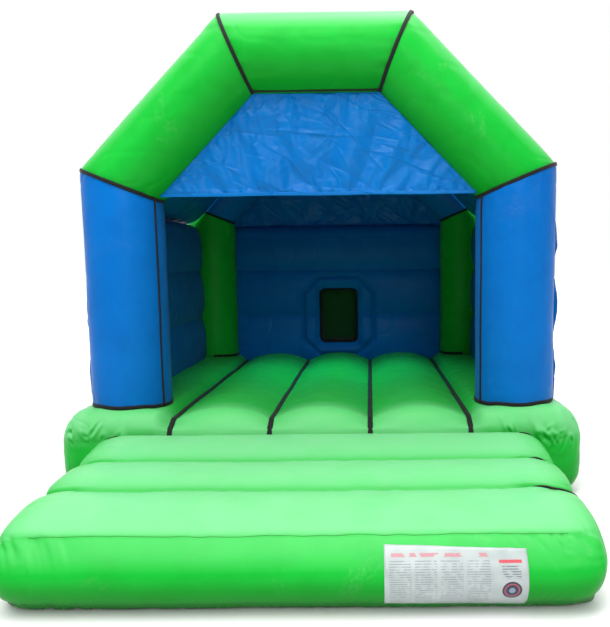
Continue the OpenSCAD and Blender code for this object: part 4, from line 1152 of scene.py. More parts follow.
def wall_loop(n_face=84, z0=0.50):
    """a closed section: (u, z), u from 0 at the inner face to 1 at the outer one"""
    T, c = WALL_T, 0.045
    za, zb, e = 0.968, 1.420, WALL_T / 2 - 0.025
    pts = []
    # outer face, going up
    for z in np.linspace(z0, zb, n_face):
        if z < za:
            t = (z - 0.47) / (za - 0.47)
        else:
            t = (z - za) / (zb - za)
        pts.append((T - c + c * np.clip(1 - (2 * t - 1) ** 2, 0, 1) ** 0.62, z))
    zt = WALL_TOP - e
    for t in np.linspace(0, 1, 18)[1:]:
        z = zb + (zt - zb) * t
        pts.append((T - c + (c - 0.025) * t + 0.027 * math.sin(math.pi * t) ** 0.8, z))
    for a in np.linspace(0, math.pi, 42)[1:]:
        pts.append((T / 2 + e * math.cos(a), zt + e * math.sin(a)))
    n = len(pts)
    inner = [(T - u, z) for u, z in pts[:n - 41 - 0][::-1]]
    pts = pts + inner[1:]
    return np.array(pts)


def side_wall(side, name):
    sec = wall_loop()
    nu = len(sec)
    nv = 121
    ts = np.linspace(0, 1, nv)
    ts = ts * 0.7 + 0.3 * (0.5 - 0.5 * np.cos(ts * math.pi))
    rings = np.zeros((nv, nu, 3))
    U, Z = sec[:, 0], sec[:, 1]
    X = WALL_IN + U
    y0 = LEG_Y + np.sqrt(np.clip((LEG_R + 0.001) ** 2 - (X - LEG_X) ** 2, 0, None))
    y1 = COL_Y - np.sqrt(np.clip((COL_R + 0.001) ** 2 - (X - LEG_X) ** 2, 0, None))
    cz = (0.50 + WALL_TOP) / 2
    for j, t in enumerate(ts):
        y = y0 + (y1 - y0) * t
        P = np.stack([X, y, Z], 1)
        dd = np.maximum(np.minimum(y - y0, y1 - y), 0)
        # inward direction across the wall
        nx_ = np.where(U > WALL_T / 2, 1.0, -1.0) * np.clip(np.abs(U - WALL_T / 2) / (WALL_T / 2), 0, 1)
        nz_ = np.where(Z > WALL_TOP - 0.12, np.sqrt(np.clip(1 - nx_ ** 2, 0, 1)), 0.0)
        pull = 0.012 * np.exp(-(dd / 0.05) ** 1.2)
        dz = np.minimum(np.abs(Z - 0.968), np.abs(Z - 1.420))
        pk = vnoise(np.stack([y * 17 + side * 5, 0 * y + np.where(Z < 1.2, 1.0, 7.0), 0 * y], 1))
        pull = pull + 0.0045 * pk * np.exp(-dz / 0.05)
        pkz = vnoise(np.stack([Z * 19 + side * 3, 0 * y + 3, 0 * y], 1))
        pull = pull + 0.004 * pkz * np.exp(-dd / 0.07)
        pull = pull - 0.004 * fbm(P, 2.0, 3, 8.8 * side) + 0.004 * ridge(P, 4.4, 3.3 * side)
        P[:, 0] -= nx_ * pull
        P[:, 2] -= nz_ * pull
        rings[j] = P
    # the foot stands on the bed
    for j in range(nv):
        k = rings[j, :, 2] < 0.505
        for i in np.where(k)[0]:
            rings[j, i, 2] = bed_surface(side * rings[j, i, 0], rings[j, i, 1]) - 0.002
    low = rings[:, :, 2] < np.maximum(rings[:, 0, 2].max() + 0.0, 0.0)
    rings[:, :, 0] *= side
    ob = loft(name, rings, BLUE)
    # painted shade: darker along the creases between the wall's tubes
    seam_shade = np.tile(0.8 * np.exp(-(np.minimum(np.abs(Z - 0.968), np.abs(Z - 1.420)) / 0.010) ** 2), nv)
    float_attr(ob, "seam_shade", np.concatenate([seam_shade, [0, 0]]))
    put(ob, *((name, "side_wall_baffles") if side < 0 else (name,)), slot="blue_pvc")
    return ob


side_wall(-1, "side_wall_left")
side_wall(1, "side_wall_right")


def rear_wall():
    sec = wall_loop()
    T = WALL_T + 0.010
    sec = sec.copy()
    sec[:, 0] *= T / WALL_T
    nu = len(sec)
    nv = 261
    U, Z = sec[:, 0], sec[:, 1]
    Y = REAR_IN + U
    # the ends butt against the columns
    half = LEG_X - np.sqrt(np.clip((COL_R + 0.001) ** 2 - (Y - COL_Y) ** 2, 0, None))
    half = np.minimum(half, 1.252)
    ts = np.linspace(-1, 1, nv)
    rings = np.zeros((nv, nu, 3))
    wz, wh, ww = 0.956, 0.263, 0.180
    for j, t in enumerate(ts):
        x = half * t
        P = np.stack([x, Y, Z], 1)
        dd = np.maximum(half - np.abs(x), 0)
        ny_ = np.where(U > T / 2, 1.0, -1.0) * np.clip(np.abs(U - T / 2) / (T / 2), 0, 1)
        nz_ = np.where(Z > WALL_TOP - 0.12, np.sqrt(np.clip(1 - ny_ ** 2, 0, 1)), 0.0)
        pull = 0.014 * np.exp(-(dd / 0.05) ** 1.2)
        dz = np.minimum(np.abs(Z - 0.968), np.abs(Z - 1.420))
        pk = vnoise(np.stack([x * 17, 0 * x + np.where(Z < 1.2, 2.0, 9.0), 0 * x], 1))
        pull = pull + 0.0045 * pk * np.exp(-dz / 0.05)
        pull = pull - 0.004 * fbm(P, 2.1, 3, 2.7) + 0.004 * ridge(P, 4.1, 6.3)
        # round the window: a puffed ring inside an eight-sided seam
        q = np.maximum(np.maximum(np.abs(x) / 0.36, np.abs(Z - wz) / 0.40), (np.abs(x) + np.abs(Z - wz)) / 0.60)
        face = (np.abs(ny_) > 0.6)
        pull = pull + face * 0.030 * np.exp(-((q - 1.0) / 0.055) ** 2)
        near = np.maximum(np.abs(x) / ww, np.abs(Z - wz) / wh)
        pull = pull + face * np.where(U > T / 2, 0.026, 0.055) * np.clip(1 - (near - 1.0) / 0.45, 0, 1) ** 1.6
        P[:, 1] -= ny_ * pull
        P[:, 2] -= nz_ * pull
        # the two faces stay apart where a crease and the ring's seam cross
        mid_y = REAR_IN + T / 2
        waist = (Z > 0.62) & (Z < 1.74)
        P[:, 1] = np.where(waist & (U < T / 2), np.minimum(P[:, 1], mid_y - 0.016), P[:, 1])
        P[:, 1] = np.where(waist & (U > T / 2), np.maximum(P[:, 1], mid_y + 0.016), P[:, 1])
        rings[j] = P
    for j in range(nv):
        for i in np.where(rings[j, :, 2] < 0.505)[0]:
            rings[j, i, 2] = bed_surface(rings[j, i, 0], rings[j, i, 1]) - 0.002
    # the window: a hole with rounded corners. Points near its edge are moved onto it, then what is inside goes
    r_c = 0.045
    flat = rings.reshape(-1, 3)
    px, pz = flat[:, 0], flat[:, 2] - wz
    qx, qz = np.abs(px) - (ww - r_c), np.abs(pz) - (wh - r_c)
    sd = np.hypot(np.maximum(qx, 0), np.maximum(qz, 0)) + np.minimum(np.maximum(qx, qz), 0) - r_c
    gx = np.where(qx > qz, 1.0, 0.0)
    both = (qx > 0) & (qz > 0)
    L = np.maximum(np.hypot(qx, qz), 1e-9)
    gx = np.where(both, qx / L, gx) * np.sign(px)
    gz = np.where(both, qz / L, np.where(qx > qz, 0.0, 1.0)) * np.sign(pz)
    near_edge = np.abs(sd) < 0.0065
    flat[near_edge, 0] -= (gx * sd)[near_edge]
    flat[near_edge, 2] -= (gz * sd)[near_edge]
    sd = np.where(near_edge, 0.0, sd)
    rings = flat.reshape(nv, nu, 3)
    V = rings.reshape(-1, 3)
    F = np.array(tube_faces(nu, nv))
    inside = (sd[F].mean(1) < 0.0005) & (sd[F].max(1) < 0.004)
    F = [tuple(f) for f in F[~inside]]
    c0, c1 = rings[0].mean(0), rings[-1].mean(0)
    V = np.vstack([V, c0, c1])
    n = nv * nu
    F += [((i + 1) % nu, i, n) for i in range(nu)]
    F += [((nv - 1) * nu + i, (nv - 1) * nu + (i + 1) % nu, n + 1) for i in range(nu)]
    ob = link("rear_wall", V, flip_if_needed(V, F), BLUE)
    # painted shade: darker along the creases between the wall's tubes and in the groove round the window's ring
    Xs = rings[:, :, 0].ravel()
    Zs = rings[:, :, 2].ravel()
    q = np.maximum(np.maximum(np.abs(Xs) / 0.36, np.abs(Zs - wz) / 0.40), (np.abs(Xs) + np.abs(Zs - wz)) / 0.60)
    seam_shade = 0.8 * np.exp(-(np.minimum(np.abs(Zs - 0.968), np.abs(Zs - 1.420)) / 0.010) ** 2) * (q > 1) + 0.8 * np.exp(-((q - 1) * 0.36 / 0.010) ** 2)
    float_attr(ob, "seam_shade", np.concatenate([np.clip(seam_shade, 0, 1), [0, 0]]))
    n = 12
    loop = []
    r = r_c
    for cx, cz_, a in ((ww - r, wh - r, 0), (-ww + r, wh - r, 90), (-ww + r, -wh + r, 180), (ww - r, -wh + r, 270)):
        for k in range(n + 1):
            ang = math.radians(a + 90 * k / n)
            loop.append((cx + r * math.cos(ang), cz_ + r * math.sin(ang)))
    loop = np.array(loop)
    put(ob, "rear_wall", "rear_wall_baffles", slot="blue_pvc")
    return ob, loop, wz


rear, win_loop, win_z = rear_wall()


def window_parts():
    # binding: a lining tube of black tape inside the cut, with a rolled lip on both faces
    prof = [(-0.004, 0.018), (0.004, 0.010), (0.0065, 0.0), (0.0065, -0.20), (0.004, -0.212), (-0.004, -0.218)]
    rings = []
    L = win_loop
    C = L / np.maximum(np.linalg.norm(L, axis=1), 1e-9)[:, None]
    y0 = REAR_IN + 0.062
    outer_loop, V = [], []
    loops = []
    dense = []
    for k in range(len(L)):
        a, b = L[k], L[(k + 1) % len(L)]
        m_ = max(1, int(np.linalg.norm(b - a) / 0.012))
        dense += [a + (b - a) * i / m_ for i in range(m_)]
    L = np.array(dense)
    G = np.sign(L) * np.maximum(np.abs(L) - np.array([0.135, 0.218]), 0)
    G = G / np.maximum(np.linalg.norm(G, axis=1), 1e-9)[:, None]

    def face_y(off, sgn):
        out = []
        for q in L + G * off:
            o = Vector((q[0], REAR_IN + (-0.4 if sgn < 0 else 0.7), q[1] + win_z))
            hit, loc, nor_, idx = rear.ray_cast(o, Vector((0, -sgn, 0)))
            out.append(loc.y if hit else (REAR_IN + 0.06 if sgn < 0 else REAR_IN + 0.22))
        out = np.array(out)
        for _ in range(4):
            out = out * 0.5 + (np.roll(out, 1) + np.roll(out, -1)) * 0.25
        return out
    bpy.context.view_layer.update()
    fi, bi = face_y(0.013, -1), face_y(0.013, 1)
    for off, base, dy in ((0.020, fi, -0.0005), (0.019, fi, -0.004), (0.010, fi, -0.006), (0.001, fi, -0.005), (-0.004, fi, 0.003), (-0.004, bi, -0.003), (0.001, bi, 0.005), (0.010, bi, 0.006), (0.019, bi, 0.004), (0.020, bi, 0.0005)):
        q = L + G * off
        loops.append(np.stack([q[:, 0], base + dy, q[:, 1] + win_z], 1))
    nu, nv = len(L), len(loops)
    V = np.array(loops).reshape(-1, 3)
    F = tube_faces(nu, nv)
    F += [((nv - 1) * nu + i, (nv - 1) * nu + (i + 1) % nu, (i + 1) % nu, i) for i in range(nu)]
    ob = link("window_trim", V, flip_if_needed(V, F), BLACK)
    put(ob, "window_binding", slot="black_tape")
    # net: knotted cords, square mesh, bowed out a little, over an opaque dark-green sheet that is painted shade,
    # standing in for the darkness seen through the window
    obs = []
    ya = REAR_IN + 0.226

    def bow(x, z):
        return ya + 0.010 * (1 - (x / 0.18) ** 2) * (1 - ((z - win_z) / 0.263) ** 2)
    step_ = 0.024
    for x in np.arange(-7, 8) * step_:
        if abs(x) > 0.172:
            continue
        h = 0.256 if abs(x) < 0.13 else 0.256 - 0.045 * (1 - math.sqrt(max(0, 1 - ((abs(x) - 0.13) / 0.045) ** 2)))
        z = np.linspace(win_z - h, win_z + h, 44)
        obs.append(rod(np.stack([x + 0.0012 * np.sin(z * 262 + x * 90), bow(x, z) + 0.0012 * np.cos((z - win_z) / step_ * math.pi), z], 1), 0.0019, "n", NET, n=6))
    for z in np.arange(-10, 11) * step_:
        if abs(z) > 0.252:
            continue
        h = 0.172 if abs(z) < 0.21 else 0.172 - 0.045 * (1 - math.sqrt(max(0, 1 - ((abs(z) - 0.21) / 0.045) ** 2)))
        x = np.linspace(-h, h, 32)
        obs.append(rod(np.stack([x, bow(x, z + win_z) - 0.0012 * np.cos(x / step_ * math.pi), z + win_z + 0.0012 * np.sin(x * 262)], 1), 0.0019, "n", NET, n=6))
    # painted shade: this opaque dark sheet shuts the window so that it reads dark
    nu_, nv_ = 40, 58
    V = []
    for j in range(nv_):
        for i in range(nu_):
            x, z = -0.1785 + 0.357 * i / (nu_ - 1), -0.2615 + 0.523 * j / (nv_ - 1)
            fold = 0.004 * math.sin(14 * (x * 1.9 + z)) + 0.003 * math.sin(31 * (x - 0.7 * z) + 1.0)
            V.append((x, bow(x, z + win_z) + 0.0032 + fold * (1 - (x / 0.18) ** 2), z + win_z))
    cloth = link("n", np.array(V), tube_faces(nu_, nv_, closed_u=False), NET)
    so = cloth.modifiers.new("thick", "SOLIDIFY")
    so.thickness = 0.0010
    so.offset = 0.0
    bpy.context.view_layer.objects.active = cloth
    bpy.ops.object.modifier_apply(modifier=so.name)
    ob = join("window_netting", obs + [cloth])
    put(ob, "window_net", slot="net")


window_parts()


# ------------------------------------------------------------------ sheets
def sheet_mesh(name, S, T, point, mat):
    nv, nu = T, S
    V = np.array([point(i / (nu - 1), j / (nv - 1)) for j in range(nv) for i in range(nu)])
    F = tube_faces(nu, nv, closed_u=False)
    return link(name, V, F, mat)


def crumple(co, seed, count, box_lo, box_hi, depth=(0.003, 0.007), width=(0.007, 0.016), length=(0.06, 0.42), lean=-0.45, spread=0.75):
    """how far each point goes along the sheet's normal, for short creases scattered over a sheet in the XZ plane"""
    rg = np.random.RandomState(seed)
    out = np.zeros(len(co))
    P2 = co[:, [0, 2]]
    for _ in range(count):
        c = np.array([rg.uniform(box_lo[0], box_hi[0]), rg.uniform(box_lo[1], box_hi[1])])
        a = lean + rg.normal() * spread
        L = rg.uniform(*length) * 0.5
        d = np.array([math.cos(a), math.sin(a)]) * L
        w = rg.uniform(*width)
        dep = rg.uniform(*depth) * rg.choice([-1, 1])
        bend = rg.uniform(-0.18, 0.18)
        q = P2 - c
        u = q @ (d / L)
        v = q @ np.array([-d[1], d[0]]) / L + bend * u * u / L * 0.5
        t = np.clip(1 - np.abs(u) / L, 0, 1) ** 0.6
        # a fold: steep on one side of the line, a long fall on the other
        side = np.exp(-np.abs(v) / np.where(v > 0, w * 3.2, w))
        out += dep * t * side
    return out


def mesh_area(ob):
    return sum(p.area for p in ob.data.polygons)


def cloth_buckle(ob, pinned, grow, frames=26, bend=0.8, seed=1, cap=0.05, gravity=0.0, stiff=25.0):
    """lets a sheet that is cut a little too large crease between its fixed edges"""
    me = ob.data
    n = len(me.vertices)
    co = np.zeros(n * 3)
    me.vertices.foreach_get("co", co)
    rest = co.reshape(-1, 3).copy()
    vg = ob.vertex_groups.new(name="pin")
    vg.add([int(i) for i in np.where(pinned)[0]], 1.0, "REPLACE")
    start = rest.copy()
    free = ~pinned
    start[free, 1] += 0.006 * fbm(rest[free], 6.0, 3, seed * 3.7)
    me.vertices.foreach_set("co", start.ravel())
    md = ob.modifiers.new("cloth", "CLOTH")
    st = md.settings
    st.quality = 5
    st.mass = 0.25
    st.tension_stiffness = stiff
    st.compression_stiffness = stiff
    st.shear_stiffness = stiff * 0.5
    st.bending_stiffness = bend
    st.tension_damping = 8
    st.compression_damping = 8
    st.shear_damping = 8
    st.bending_damping = 1.0
    st.air_damping = 3.0
    st.vertex_group_mass = "pin"
    st.shrink_min = -grow
    st.effector_weights.gravity = gravity
    md.collision_settings.use_collision = False
    md.collision_settings.use_self_collision = False
    md.point_cache.frame_start = 1
    md.point_cache.frame_end = frames + 1
    for f in range(1, frames + 1):
        scene.frame_set(f)
    dg = bpy.context.evaluated_depsgraph_get()
    ev = ob.evaluated_get(dg)
    out = np.zeros(n * 3)
    ev.data.vertices.foreach_get("co", out)
    out = out.reshape(-1, 3)
    ob.modifiers.remove(md)
    scene.frame_set(1)
    mv = out - rest
    L = np.linalg.norm(mv, axis=1)
    k = np.where(L > cap, cap / np.maximum(L, 1e-9), 1.0)
    me.vertices.foreach_set("co", (rest + mv * k[:, None]).ravel())
    me.update()
    return ob


def smooth_sheet(ob, rounds=1):
    bpy.context.view_layer.objects.active = ob
    sub = ob.modifiers.new("sub", "SUBSURF")
    sub.levels = sub.render_levels = rounds
    bpy.ops.object.modifier_apply(modifier=sub.name)
    ob.data.polygons.foreach_set("use_smooth", [True] * len(ob.data.polygons))


def gable(name, y, R, z_lo, cad, inset, seed, grow=0.035):
    inner = math.sqrt(R * R - inset * inset)     # half width of the tube where the sheet meets it
    c0 = a_mid - slope_out * inner                # a point on the slope's inner line
    zt = (TOP_H - LEG_R) - inner - 0.002

    def slope_x(z):
        return c0[0] + (z - c0[1]) * slope_dir[0] / slope_dir[1]

    leg_x = LEG_X - inner

    def half(z):
        return min(slope_x(z), leg_x) - 0.002

    NU, NV = 236, 88

    def pt(s, t):
        z = z_lo + (zt - z_lo) * t
        h = half(z)
        return ((2 * s - 1) * h, y, z)
    ob = sheet_mesh(name, NU, NV, pt, SHEET)
    idx = np.arange(NU * NV).reshape(NV, NU)
    pin = np.zeros(NU * NV, bool)
    pin[idx[:, 0]] = pin[idx[:, -1]] = pin[idx[-1]] = True
    pin[idx[0]] = True
    cloth_buckle(ob, pin, grow, seed=seed, cap=0.045)
    # creases that folding has left in the sheet
    me = ob.data
    co = np.zeros(NU * NV * 3)
    me.vertices.foreach_get("co", co)
    co = co.reshape(-1, 3)
    edge = np.ones(NU * NV)
    ii, jj = np.meshgrid(np.arange(NU), np.arange(NV))
    edge = np.clip(np.minimum(np.minimum(ii, NU - 1 - ii), np.minimum(jj, NV - 1 - jj)).ravel() / 5.0, 0, 1)
    co[:, 1] -= 0.0015 * ridge(co, 9.5, seed + 4) * edge
    me.vertices.foreach_set("co", co.ravel())
    smooth_sheet(ob, 1)
    me = ob.data
    nn = len(me.vertices)
    co = np.zeros(nn * 3)
    me.vertices.foreach_get("co", co)
    co = co.reshape(-1, 3)
    hx = np.array([half(z) for z in np.clip(co[:, 2], z_lo, zt)])
    gap_ = np.minimum(np.minimum(hx - np.abs(co[:, 0]), zt - co[:, 2]), co[:, 2] - z_lo)
    edge = np.clip(gap_ / 0.035, 0, 1)
    kk = crumple(co, seed, 62, (-1.0, z_lo), (1.0, zt), depth=(0.0040, 0.0100), width=(0.0040, 0.0075), length=(0.20, 0.75), lean=-0.42, spread=0.42)
    kk += crumple(co, seed + 20, 46, (-1.0, z_lo), (1.0, zt), depth=(0.0020, 0.0045), width=(0.0030, 0.0055), length=(0.07, 0.30), lean=0.35, spread=0.8)
    co[:, 1] -= kk * edge
    me.vertices.foreach_set("co", co.ravel())
    me.update()
    float_attr(ob, "seam_shade", np.zeros(len(ob.data.vertices)))
    # hem: a folded band along the lower edge
    xs = np.linspace(-half(z_lo) + 0.004, half(z_lo) - 0.004, 120)
    hp = np.stack([xs, y + 0 * xs - 0.0012, z_lo + 0.010 + 0.0015 * vnoise(np.stack([xs * 7, 0 * xs, 0 * xs], 1))], 1)
    hem = ribbon(hp, np.tile([0, -1.0, 0], (len(xs), 1)), 0.024, 0.0035, name + "_hem", SHEET, seg=6)
    put(ob, cad, slot="blue_sheet")
    put(hem, slot="blue_sheet")
    return ob


gable("front_gable", LEG_Y - 0.0755, LEG_R, HEM_Z, "front_gable_panel", 0.0755, 1)
gable("rear_gable", REAR_IN + 0.1395, COL_R, WALL_TOP - 0.012, "rear_gable_panel", REAR_IN + 0.1395 - COL_Y, 2, grow=0.02)


def roof():
    # the cover's line across the castle, from one side's lower edge over the ridge to the other's
    half = np.array([(0.0, 2.862), (0.30, 2.862), (0.43, 2.858), (0.50, 2.815), (0.62, 2.688), (0.90, 2.395), (1.18, 2.102), (1.31, 1.964), (1.37, 1.915), (1.44, 1.893), (1.50, 1.880), (1.545, 1.850), (1.572, 1.800), (1.5775, 1.735), (1.5775, 1.645)])
    line = np.vstack([np.stack([-half[::-1, 0], half[::-1, 1]], 1), half[1:]])
    seg = np.concatenate([[0], np.cumsum(np.linalg.norm(np.diff(line, axis=0), axis=1))])
    y0 = LEG_Y + LEG_R + 0.002
    y1 = COL_Y - COL_R - 0.003
    NU, NV = 210, 84
    sl = np.linspace(0, seg[-1], NU)
    X = np.interp(sl, seg, line[:, 0])
    Z = np.interp(sl, seg, line[:, 1])
    for _ in range(3):
        X[1:-1] = X[1:-1] * 0.5 + (X[:-2] + X[2:]) * 0.25
        Z[1:-1] = Z[1:-1] * 0.5 + (Z[:-2] + Z[2:]) * 0.25
    T = np.stack([np.gradient(X), np.gradient(Z)], 1)
    T /= np.linalg.norm(T, axis=1)[:, None]
    N = np.stack([-T[:, 1], T[:, 0]], 1)
    V = np.zeros((NV, NU, 3))
    for j in range(NV):
        t = j / (NV - 1)
        y = y0 + (y1 - y0) * t
        P = np.stack([X, np.full(NU, y), Z], 1)
        free = sstep(1.34, 1.20, np.abs(X))       # clear of the walls' tops
        belly = 4 * t * (1 - t)
        dip = 0.030 * belly * free
        w = (0.008 * fbm(P, 1.9, 3, 4.4) + 0.006 * ridge(P, 2.7, 7.7) + 0.004 * ridge(P, 5.1, 1.7)) * free * min(1, belly * 3)
        # pleats that run down from the arches
        pl_ = 0.006 * np.sin(y * 21 + 2.5 * vnoise(np.stack([X * 2, 0 * X, 0 * X], 1))) * free * min(1, belly * 2)
        edge = (1 - free) * 0.0022 * (1 + np.sin(y * 26 + X * 3))
        off = -dip - w + pl_ * 0.7 + edge
        P[:, 0] += N[:, 0] * off
        P[:, 2] += N[:, 1] * off
        V[j] = P
    F = tube_faces(NU, NV, closed_u=False)
    ob = link("rain_cover", V.reshape(-1, 3), F, SHEET)
    so = ob.modifiers.new("thick", "SOLIDIFY")
    so.thickness = 0.0012
    so.offset = 1.0
    bpy.context.view_layer.objects.active = ob
    bpy.ops.object.modifier_apply(modifier=so.name)
    float_attr(ob, "seam_shade", np.zeros(len(ob.data.vertices)))
    put(ob, "roof_cover", slot="blue_sheet")
    obs = []
    # hems along both lower edges
    for s in (-1, 1):
        ys = np.linspace(y0 + 0.004, y1 - 0.004, 90)
        p = np.stack([np.full(90, s * 1.5795), ys, np.full(90, 1.660)], 1)
        obs.append(ribbon(p, np.tile([s * 1.0, 0, 0], (90, 1)), 0.030, 0.0025, "h", SHEET, seg=6))
    hem = put(join("rain_cover_hems", obs), slot="blue_sheet")


roof()


def ties():
    obs, pads = [], []
    for s in (-1, 1):
        for y in (-0.100, 0.600, 1.300):
            zz = np.linspace(1.225, 1.760, 40)
            x = np.array([1.5835 if z > 1.66 else 1.5735 for z in zz])
            for _ in range(3):
                x[1:-1] = x[1:-1] * 0.5 + (x[:-2] + x[2:]) * 0.25
            p = np.stack([s * x, y + 0.003 * np.sin(zz * 9), zz], 1)
            obs.append(ribbon(p, np.tile([s * 1.0, 0, 0], (40, 1)), 0.030, 0.0022, "t", STRAP, seg=6))
            # a welded round patch with a raised rim
            th = np.linspace(0, 2 * math.pi, 48, endpoint=False)
            rings = []
            for r, h in ((0.0005, 0.0), (0.040, 0.0), (0.040, 0.0015), (0.037, 0.0028), (0.030, 0.0020), (0.0005, 0.0030)):
                rings.append(np.stack([np.full(48, s * (1.5685 + h)), y + r * np.cos(th), 1.194 + r * np.sin(th)], 1))
            pads.append(loft("r", np.array(rings), BLUE))
    put(join("cover_ties", obs), "roof_tie_straps", slot="black_tape")
    ob = join("tie_patches", pads)
    float_attr(ob, "seam_shade", np.zeros(len(ob.data.vertices)))
    put(ob, "roof_tie_patches", slot="blue_sheet")


ties()


# ------------------------------------------------------------------ information panel
def label():
    # it lies on the step's front, a little askew
    x0, x1, za, zb = 0.372, 0.968, 0.045, 0.290
    NU, NV = 60, 34
    bpy.context.view_layer.update()
    front = np.zeros((NV, NU, 3))
    for j in range(NV):
        for i in range(NU):
            x = x0 + (x1 - x0) * i / (NU - 1)
            z = za + (zb - za) * j / (NV - 1) - 0.014 * (i / (NU - 1) - 0.5)
            hit, loc, nor, idx = step.ray_cast(Vector((x, -4.0, z)), Vector((0, 1, 0)))
            front[j, i] = (x, loc.y if hit else YF + 0.03, z)
    for _ in range(3):
        front[1:-1, :, 1] = front[1:-1, :, 1] * 0.5 + (front[:-2, :, 1] + front[2:, :, 1]) * 0.25
        front[:, 1:-1, 1] = front[:, 1:-1, 1] * 0.5 + (front[:, :-2, 1] + front[:, 2:, 1]) * 0.25
    V = front.reshape(-1, 3)
    dy = np.gradient(front[:, :, 1], axis=0) / np.gradient(front[:, :, 2], axis=0)
    N = np.stack([np.zeros_like(dy), -np.ones_like(dy), dy], 2)
    N /= np.linalg.norm(N, axis=2)[:, :, None]
    V = (front + N * 0.0022).reshape(-1, 3)
    F = tube_faces(NU, NV, closed_u=False)
    ob = link("information_panel", V, F, label_material(x0, x1, za, zb))
    so = ob.modifiers.new("thick", "SOLIDIFY")
    so.thickness = 0.0012
    so.offset = 0.0
    bpy.context.view_layer.objects.active = ob
    bpy.ops.object.modifier_apply(modifier=so.name)
    put(ob, "info_label", slot="label")


label()


# ------------------------------------------------------------------ sleeve, strap, buckle
def sleeve():
    sx, sz = -0.636, 0.215
    y0, L, R = YE + 0.0006, 0.450, 0.1415
    nu, nv = 96, 90
    th = np.linspace(0, 2 * math.pi, nu, endpoint=False)

    def shell(R, off, ys, sgn=1):
        rings = []
        for y in ys:
            t = (y - y0) / L
            clamp = math.exp(-((t - 0.80) / 0.055) ** 2)
            fold = 0.0035 * np.sin(th * 9 + 2 * t) + 0.002 * np.sin(th * 17 + 5 * t + 1)
            r = R + off - 0.004 * clamp + fold * (0.25 + 0.75 * math.exp(-((t - 0.80) / 0.14) ** 2) + 0.4 * t * t) * 0.55
            root = 0.020 * math.exp(-t / 0.05)
            r = r + root * (off > 0)
            rings.append(np.stack([sx + r * np.cos(th), np.full(nu, y) + 0.002 * np.sin(th * 3) * t, sz + r * np.sin(th)], 1))
        return rings
    ys = y0 + L * np.linspace(0, 1, nv)
    out = shell(R, 0.0013, ys)
    inn = shell(R - 0.0012, 0.0, ys[::-1])
    rings = np.array(out + inn)
    n2, nu_, _ = rings.shape
    V = rings.reshape(-1, 3)
    F = tube_faces(nu_, n2)
    F += [((n2 - 1) * nu_ + i, (n2 - 1) * nu_ + (i + 1) % nu_, (i + 1) % nu_, i) for i in range(nu_)]
    ob = link("inflation_sleeve_cloth", V, flip_if_needed(V, F), GREEN)
    float_attr(ob, "seam_shade", np.zeros(len(V)))
    put(ob, "inflation_sleeve", slot="green_pvc")
    # strap
    th2 = np.radians(np.linspace(100, 440, 120))
    yc = y0 + L * 0.80
    r = R + 0.0005
    p = np.stack([sx + r * np.cos(th2), np.full(120, yc), sz + r * np.sin(th2)], 1)
    n = np.stack([np.cos(th2), 0 * th2, np.sin(th2)], 1)
    st = ribbon(p, n, 0.040, 0.0030, "sleeve_webbing", STRAP, seg=8)
    # free end, hanging from the buckle
    tail = np.array([(sx + 0.02, yc, sz + r + 0.009), (sx + 0.05, yc, sz + r + 0.012), (sx + 0.085, yc + 0.002, sz + r - 0.004), (sx + 0.105, yc + 0.004, sz + r - 0.030), (sx + 0.121, yc + 0.006, sz + r - 0.055)])
    tt = np.linspace(0, 4, 30)
    tp = np.stack([np.interp(tt, range(5), tail[:, k]) for k in range(3)], 1)
    for _ in range(6):
        tp[1:-1] = tp[1:-1] * 0.5 + (tp[:-2] + tp[2:]) * 0.25
    nn = np.stack([np.linspace(0, 0.9, 30), 0 * tt, np.ones(30)], 1)
    tl = ribbon(tp, nn, 0.038, 0.0022, "tail", STRAP, seg=6)
    put(join("sleeve_webbing_all", [st, tl]), "sleeve_strap", slot="black_tape")


sleeve()


